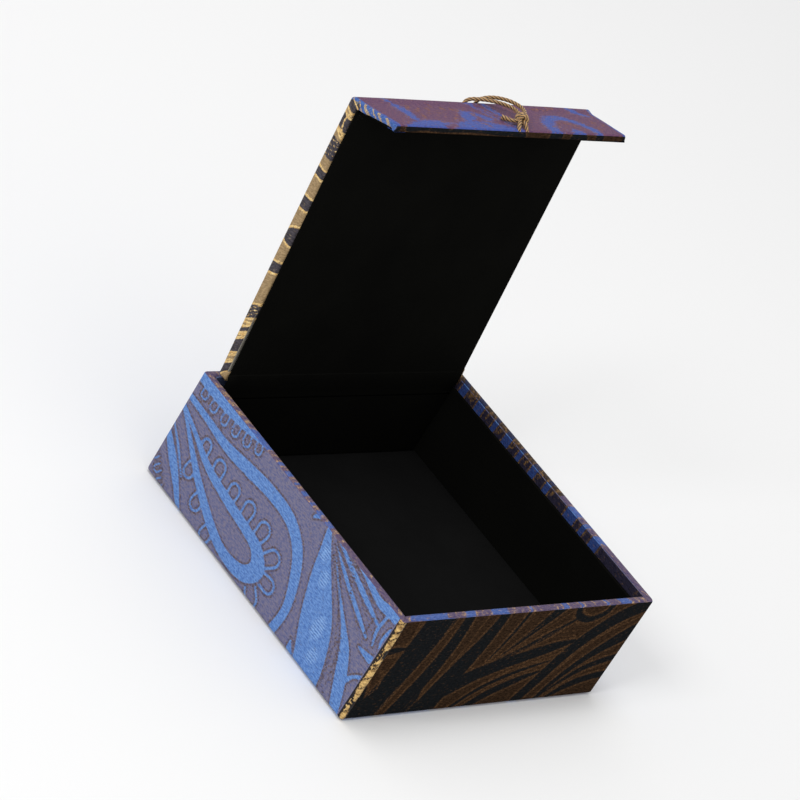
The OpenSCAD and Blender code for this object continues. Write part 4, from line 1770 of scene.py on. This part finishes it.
    def strip(self, name: str, route: Sequence[Vector], size: Point2, finish: Finish) -> Object:
        """Bends a strip of cloth along a line of points, square to the hinge.

        Args:
            name: The piece's name.
            route: Points of the strip's middle line in the open box.
            size: Half its width, and its thickness.
            finish: Its finish.

        Returns:
            The strip, which rides on nothing yet.
        """
        half, thick = size
        line = curve_points([(p.y, p.z) for p in route], 4)
        run = run_along(line)
        cloth = bmesh.new()
        bmesh.ops.create_grid(cloth, x_segments=24, y_segments=len(line) - 1, size=0.5)
        layer = cloth.verts.layers.float_vector.new("cloth")
        for vert in cloth.verts:
            k = round((vert.co.y + 0.5) * (len(line) - 1))
            x = vert.co.x * 2 * half
            vert[layer] = (x, run[k], 0)
            vert.co = (x, *line[k])
        bmesh.ops.solidify(cloth, geom=list(cloth.faces), thickness=thick)
        bmesh.ops.recalc_face_normals(cloth, faces=list(cloth.faces))
        bmesh.ops.scale(cloth, vec=Vector((MM, MM, MM)), verts=list(cloth.verts))
        mesh = sheet_mesh(cloth, name)
        for pattern in ("motif", "line"):
            write_attribute(mesh, pattern, np.full(len(mesh.vertices), BARE))
        shade_smooth(mesh)
        return make_piece(name, mesh, [finish])

    def cover_folds(self) -> None:
        """Lays the strips of lining and brocade over the hinge and inside the fold."""
        lid, flap = self.lid_matrix(), self.flap_matrix()
        leaf_low, leaf_high = node_box("back_leaf_lining")
        face, top, under, gap = leaf_low.y, leaf_high.z, self.under, self.hinge_gap
        inner = self.strip(
            "hinge_lining",
            [
                Vector((0, face - 0.02, top - 2.0)),
                Vector((0, face - 0.04, top)),
                Vector((0, face - 0.22, top + 2.2)),
                lid @ Vector((0, -gap, under - 0.05)),
                lid @ Vector((0, -gap - 2.0, under - 0.02)),
            ],
            self.hinge_lining,
            LINING,
        )
        outer = self.strip(
            "hinge_brocade",
            [
                self.hinge + Vector((0, -0.25, -3.2)),
                self.hinge + Vector((0, -0.25, -1.0)),
                self.hinge + Vector((0, -0.02, -0.1)),
                lid @ Vector((0, -gap - 0.1, self.rise + 0.02)),
                lid @ Vector((0, -gap - 1.6, self.rise + 0.06)),
            ],
            self.hinge_brocade,
            Threads.LIT_WALL.value,
        )
        crease = self.strip(
            "fold_lining",
            [
                lid @ Vector((0, self.fold.y + 2.6, under - 0.02)),
                lid @ Vector((0, self.fold.y + 1.0, under - 0.05)),
                lid @ Vector((0, self.fold.y + 0.35, under - 0.4)),
                flap @ Vector((0, 0.06, -1.2)),
                flap @ Vector((0, 0.03, -2.8)),
            ],
            self.fold_lining,
            LINING,
        )
        hinge = [Vector((0, face, top + 0.1)), lid @ Vector((0, -gap, under))]
        for piece, bodies, (start, end), slot in (
            (inner, ("tray", "lid"), hinge, "lining_cloth"),
            (outer, ("tray", "lid"), hinge, "brocade"),
            (crease, ("lid", "flap"), self.bend, "lining_cloth"),
        ):
            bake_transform(piece)

    def dress_frame(self) -> None:
        """Gives the cover's CAD pieces their finishes."""
        dress_nodes(
            {
                GREYBOARD: ["lid_board", "flap_board"],
                WADDING: ["lid_wadding"],
                LINING: ["lid_lining", "flap_lining"],
            }
        )


# The loop's route by the flap's outer face: across it, from the fold, and height off it.
LOOP_ROUTE = [
    (5.0, 17.5, -0.5), (4.9, 17.1, 0.3), (4.8, 16.5, 1.1), (4.9, 15.6, 1.7),
    (5.6, 14.5, 2.0), (6.9, 13.3, 2.2), (8.4, 11.9, 2.4), (9.6, 10.2, 2.7),
    (10.1, 8.4, 2.9), (9.9, 6.6, 3.0), (9.0, 5.1, 3.1), (7.6, 3.8, 3.1),
    (6.0, 2.6, 2.9), (4.5, 1.6, 2.5), (3.3, 0.6, 1.8), (2.7, -0.4, 0.8),
    (2.6, -1.0, -0.6), (2.4, -1.1, -2.2), (1.6, -1.1, -3.7), (0.2, -1.1, -4.3),
    (-1.2, -1.1, -3.6), (-1.9, -1.1, -2.2), (-1.8, -1.1, -0.7), (-1.2, -0.7, 0.5),
    (-0.2, 0.3, 1.3), (1.1, 1.6, 1.8), (2.5, 3.0, 2.2), (4.1, 4.3, 2.4),
    (5.8, 5.5, 2.4), (7.3, 6.8, 2.3), (8.1, 8.3, 2.1), (7.9, 9.9, 1.9),
    (7.0, 11.4, 1.8), (5.6, 12.9, 1.8), (4.4, 14.2, 1.8), (3.3, 15.4, 1.6),
    (2.4, 16.4, 1.1), (1.9, 17.1, 0.3), (1.8, 17.5, -0.5),
]
TAIL_ROUTE = [
    (3.2, 14.3, 1.4), (2.2, 13.7, 1.1), (1.6, 12.9, 1.0), (1.3, 11.9, 0.9), (0.7, 11.0, 0.9),
]


@dataclass
class PullLoop:
    """The doubled, twisted cord on the flap, with its knot and short tail."""

    diameter: float = 1.1
    # The plies' spacing along the cord, their number, and the grooves' depth as a share.
    lay: float = 1.2
    plies: int = 4
    lobe: float = 0.1
    # Places on the cord between two points of its route.
    steps: int = 9
    # The knot's middle by the flap's face, its radius, its turn in degrees and its windings.
    knot_at: Point3 = (5.0, 14.35, 2.0)
    knot_r: float = 1.2
    knot_turn: float = 42.0
    windings: float = 2.25
    winding_points: int = 28
    winding_pitch: float = 0.85
    wider: float = 1.15
    flatter: float = 0.9
    # The cut end of the tail swells this much, over this many points.
    frayed: float = 1.35
    frayed_points: int = 12

    def section_points(self) -> list[Point2]:
        """Draws the twisted cord's section, a round lobe for each ply.

        Returns:
            The section's outline in millimetres.
        """
        count = 8 * self.plies
        points = []
        for k in range(count):
            a = 2 * math.pi * k / count
            groove = 1 - abs(math.cos(a * self.plies / 2))
            r = self.diameter / 2 * (1 - self.lobe * groove * 2)
            points.append((r * math.cos(a), r * math.sin(a)))
        return points

    def twisted(self, route: Array, name: str, swell: Array | None = None) -> Mesh:
        """Sweeps a twisted section along a route.

        Args:
            route: Points of the route in millimetres.
            name: The mesh's name.
            swell: How many times thicker the cord is at each point, where it isn't even.

        Returns:
            The mesh in metres, with an attribute that is 1 on the plies' crests.
        """
        swell = np.ones(len(route)) if swell is None else swell
        ring = bpy.data.curves.new(name + "_section", "CURVE")
        ring.dimensions = "2D"
        path = bpy.data.curves.new(name, "CURVE")
        path.dimensions = "3D"
        for curve, points in ((ring, self.section_points()), (path, route)):
            curve.splines.new("POLY").points.add(len(points) - 1)
        ring.splines[0].use_cyclic_u = True
        for spot, (x, y) in zip(ring.splines[0].points, self.section_points(), strict=True):
            spot.co = (x * MM, y * MM, 0, 1)
        run = run_along(route)
        for k, spot in enumerate(path.splines[0].points):
            spot.co = (*(route[k] * MM), 1)
            spot.tilt = 2 * math.pi * run[k] / (self.lay * self.plies)
            spot.radius = swell[k]
        section = place_object(name + "_section", ring)
        path.twist_mode = "MINIMUM"
        path.bevel_mode = "OBJECT"
        path.bevel_object = section
        path.use_fill_caps = True
        holder = place_object(name + "_path", path)
        bpy.context.view_layer.update()
        graph = bpy.context.evaluated_depsgraph_get()
        mesh = bpy.data.meshes.new_from_object(holder.evaluated_get(graph))
        bpy.data.objects.remove(holder)
        bpy.data.objects.remove(section)
        points = read_points(mesh) / MM
        away = np.linalg.norm(points[:, None, :] - route[None, :, :], axis=2)
        gaps = away.min(1) / swell[away.argmin(1)]
        outer = self.diameter / 2
        low = outer * (1 - 2 * self.lobe)
        write_attribute(mesh, "ply", np.clip((gaps - low) / (outer - low), 0, 1))
        shade_smooth(mesh)
        return mesh

    def build(self, cover: Cover) -> list[Object]:
        """Lays the loop and ties its knot.

        Args:
            cover: The cover whose flap carries the loop.

        Returns:
            The loop and the knot.
        """
        route = np.array([cover.flap_point(*p) for p in curve_points(LOOP_ROUTE, self.steps)])
        loop = make_piece("pull_cord", self.twisted(route, "pull_cord"), [GOLD_CORD])
        knot = make_piece("cord_knot", self.knot_mesh(cover), [GOLD_CORD])
        anchor = cover.flap_point(5, 10, 0) * MM
        off = (cover.flap_point(0, 10, 1) - cover.flap_point(0, 10, 0)).normalized()
        for piece, node in ((loop, "pull_loop"), (knot, "loop_knot")):
            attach(piece, "flap")
            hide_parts(node)
        for piece in (loop, knot):
            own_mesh(piece)
        return [loop, knot]

    def knot_mesh(self, cover: Cover) -> Mesh:
        """Winds two turns round the strands and lets the end hang as a tail.

        Args:
            cover: The cover whose flap carries the loop.

        Returns:
            The knot's mesh in metres.
        """
        turn = math.radians(self.knot_turn)
        axis = np.array([math.cos(turn + math.pi / 2), math.sin(turn + math.pi / 2), 0])
        side = np.array([math.cos(turn), math.sin(turn), 0])
        off = np.array([0, 0, 1.0])
        winding = []
        for t in np.linspace(0, 1, self.winding_points):
            a = 2 * math.pi * self.windings * t
            along = (t - 0.5) * self.diameter * self.windings * self.winding_pitch
            round_it = math.cos(a) * side * self.wider + math.sin(a) * off * self.flatter
            winding.append(np.array(self.knot_at) + axis * along + self.knot_r * round_it)
        route = curve_points([*winding, *TAIL_ROUTE], 4)
        points = np.array([cover.flap_point(*p) for p in route])
        to_end = np.arange(len(points))[::-1] / self.frayed_points
        swell = 1 + (self.frayed - 1) * np.clip(1 - to_end, 0, 1)
        return self.twisted(points, "cord_knot", swell)


@dataclass
class Studio:
    """The camera, the lights and the pale floor."""

    camera_at: Point3 = (-0.78236, -0.52503, 0.55164)
    right: Point3 = (0.69021, -0.54925, 0.47110)
    down: Point3 = (-0.01753, -0.66354, -0.74794)
    forward: Point3 = (0.72340, 0.50798, -0.46760)
    lens_mm: float = 177.58
    # Each lamp's place and size in metres, and its power in watts.
    lamps: Sequence[tuple[str, Point3, float, float]] = (
        ("key", (-1.6, -0.1, 1.3), 0.6, 12.5),
        ("top", (-0.2, 0.2, 1.8), 0.8, 9.6),
    )
    world_strength: float = 0.6
    floor_half: float = 6

    def set_camera(self) -> None:
        """Puts the camera where the photograph was taken from."""
        data = bpy.data.cameras.new("camera")
        data.lens = self.lens_mm
        data.sensor_width = 36.0
        data.clip_start = 0.05
        data.clip_end = 20
        camera = place_object("camera", data)
        rows = [[self.right[i], -self.down[i], -self.forward[i]] for i in range(3)]
        camera.matrix_world = Matrix.Translation(Vector(self.camera_at)) @ Matrix(rows).to_4x4()
        bpy.context.scene.camera = camera

    def set_lights(self) -> None:
        """Lights the box softly from the upper left, on a pale floor."""
        bpy.context.scene.view_settings.view_transform = "Standard"
        world = bpy.data.worlds.new("studio")
        world.use_nodes = True
        sky = world.node_tree.nodes["Background"].inputs
        sky["Color"].default_value = (1, 1, 1, 1)
        sky["Strength"].default_value = self.world_strength
        bpy.context.scene.world = world
        for name, at, size, power in self.lamps:
            data = bpy.data.lights.new(name, "AREA")
            data.size = size
            data.energy = power
            lamp = place_object(name, data)
            lamp.location = at
            aim = Vector((0, 0, 0.05)) - Vector(at)
            lamp.rotation_euler = aim.to_track_quat("-Z", "Y").to_euler()

    def set_floor(self) -> None:
        """Lays a pale floor that fills the view."""
        ground = bmesh.new()
        bmesh.ops.create_grid(ground, x_segments=1, y_segments=1, size=self.floor_half)
        mesh = sheet_mesh(ground, "floor")
        material = bpy.data.materials.new("pale_floor")
        material.use_nodes = True
        shader = material.node_tree.nodes["Principled BSDF"]
        shader.inputs["Base Color"].default_value = srgb("f6f6f6")
        shader.inputs["Roughness"].default_value = 0.9
        mesh.materials.append(material)
        place_object("floor", mesh)


def main() -> None:
    """Builds the studio and every piece of the box, in order."""
    logging.basicConfig(level=logging.INFO, format="%(name)s: %(message)s")
    studio = Studio()
    studio.set_camera()
    cover = Cover()
    PullLoop().build(cover)
    cover.build()
    cover.cover_folds()
    cover.dress_frame()
    tray = Tray()
    tray.wrap()
    tray.dress_frame()
    Pad().build()
    studio.set_lights()
    studio.set_floor()


if __name__ == "__main__":
    main()
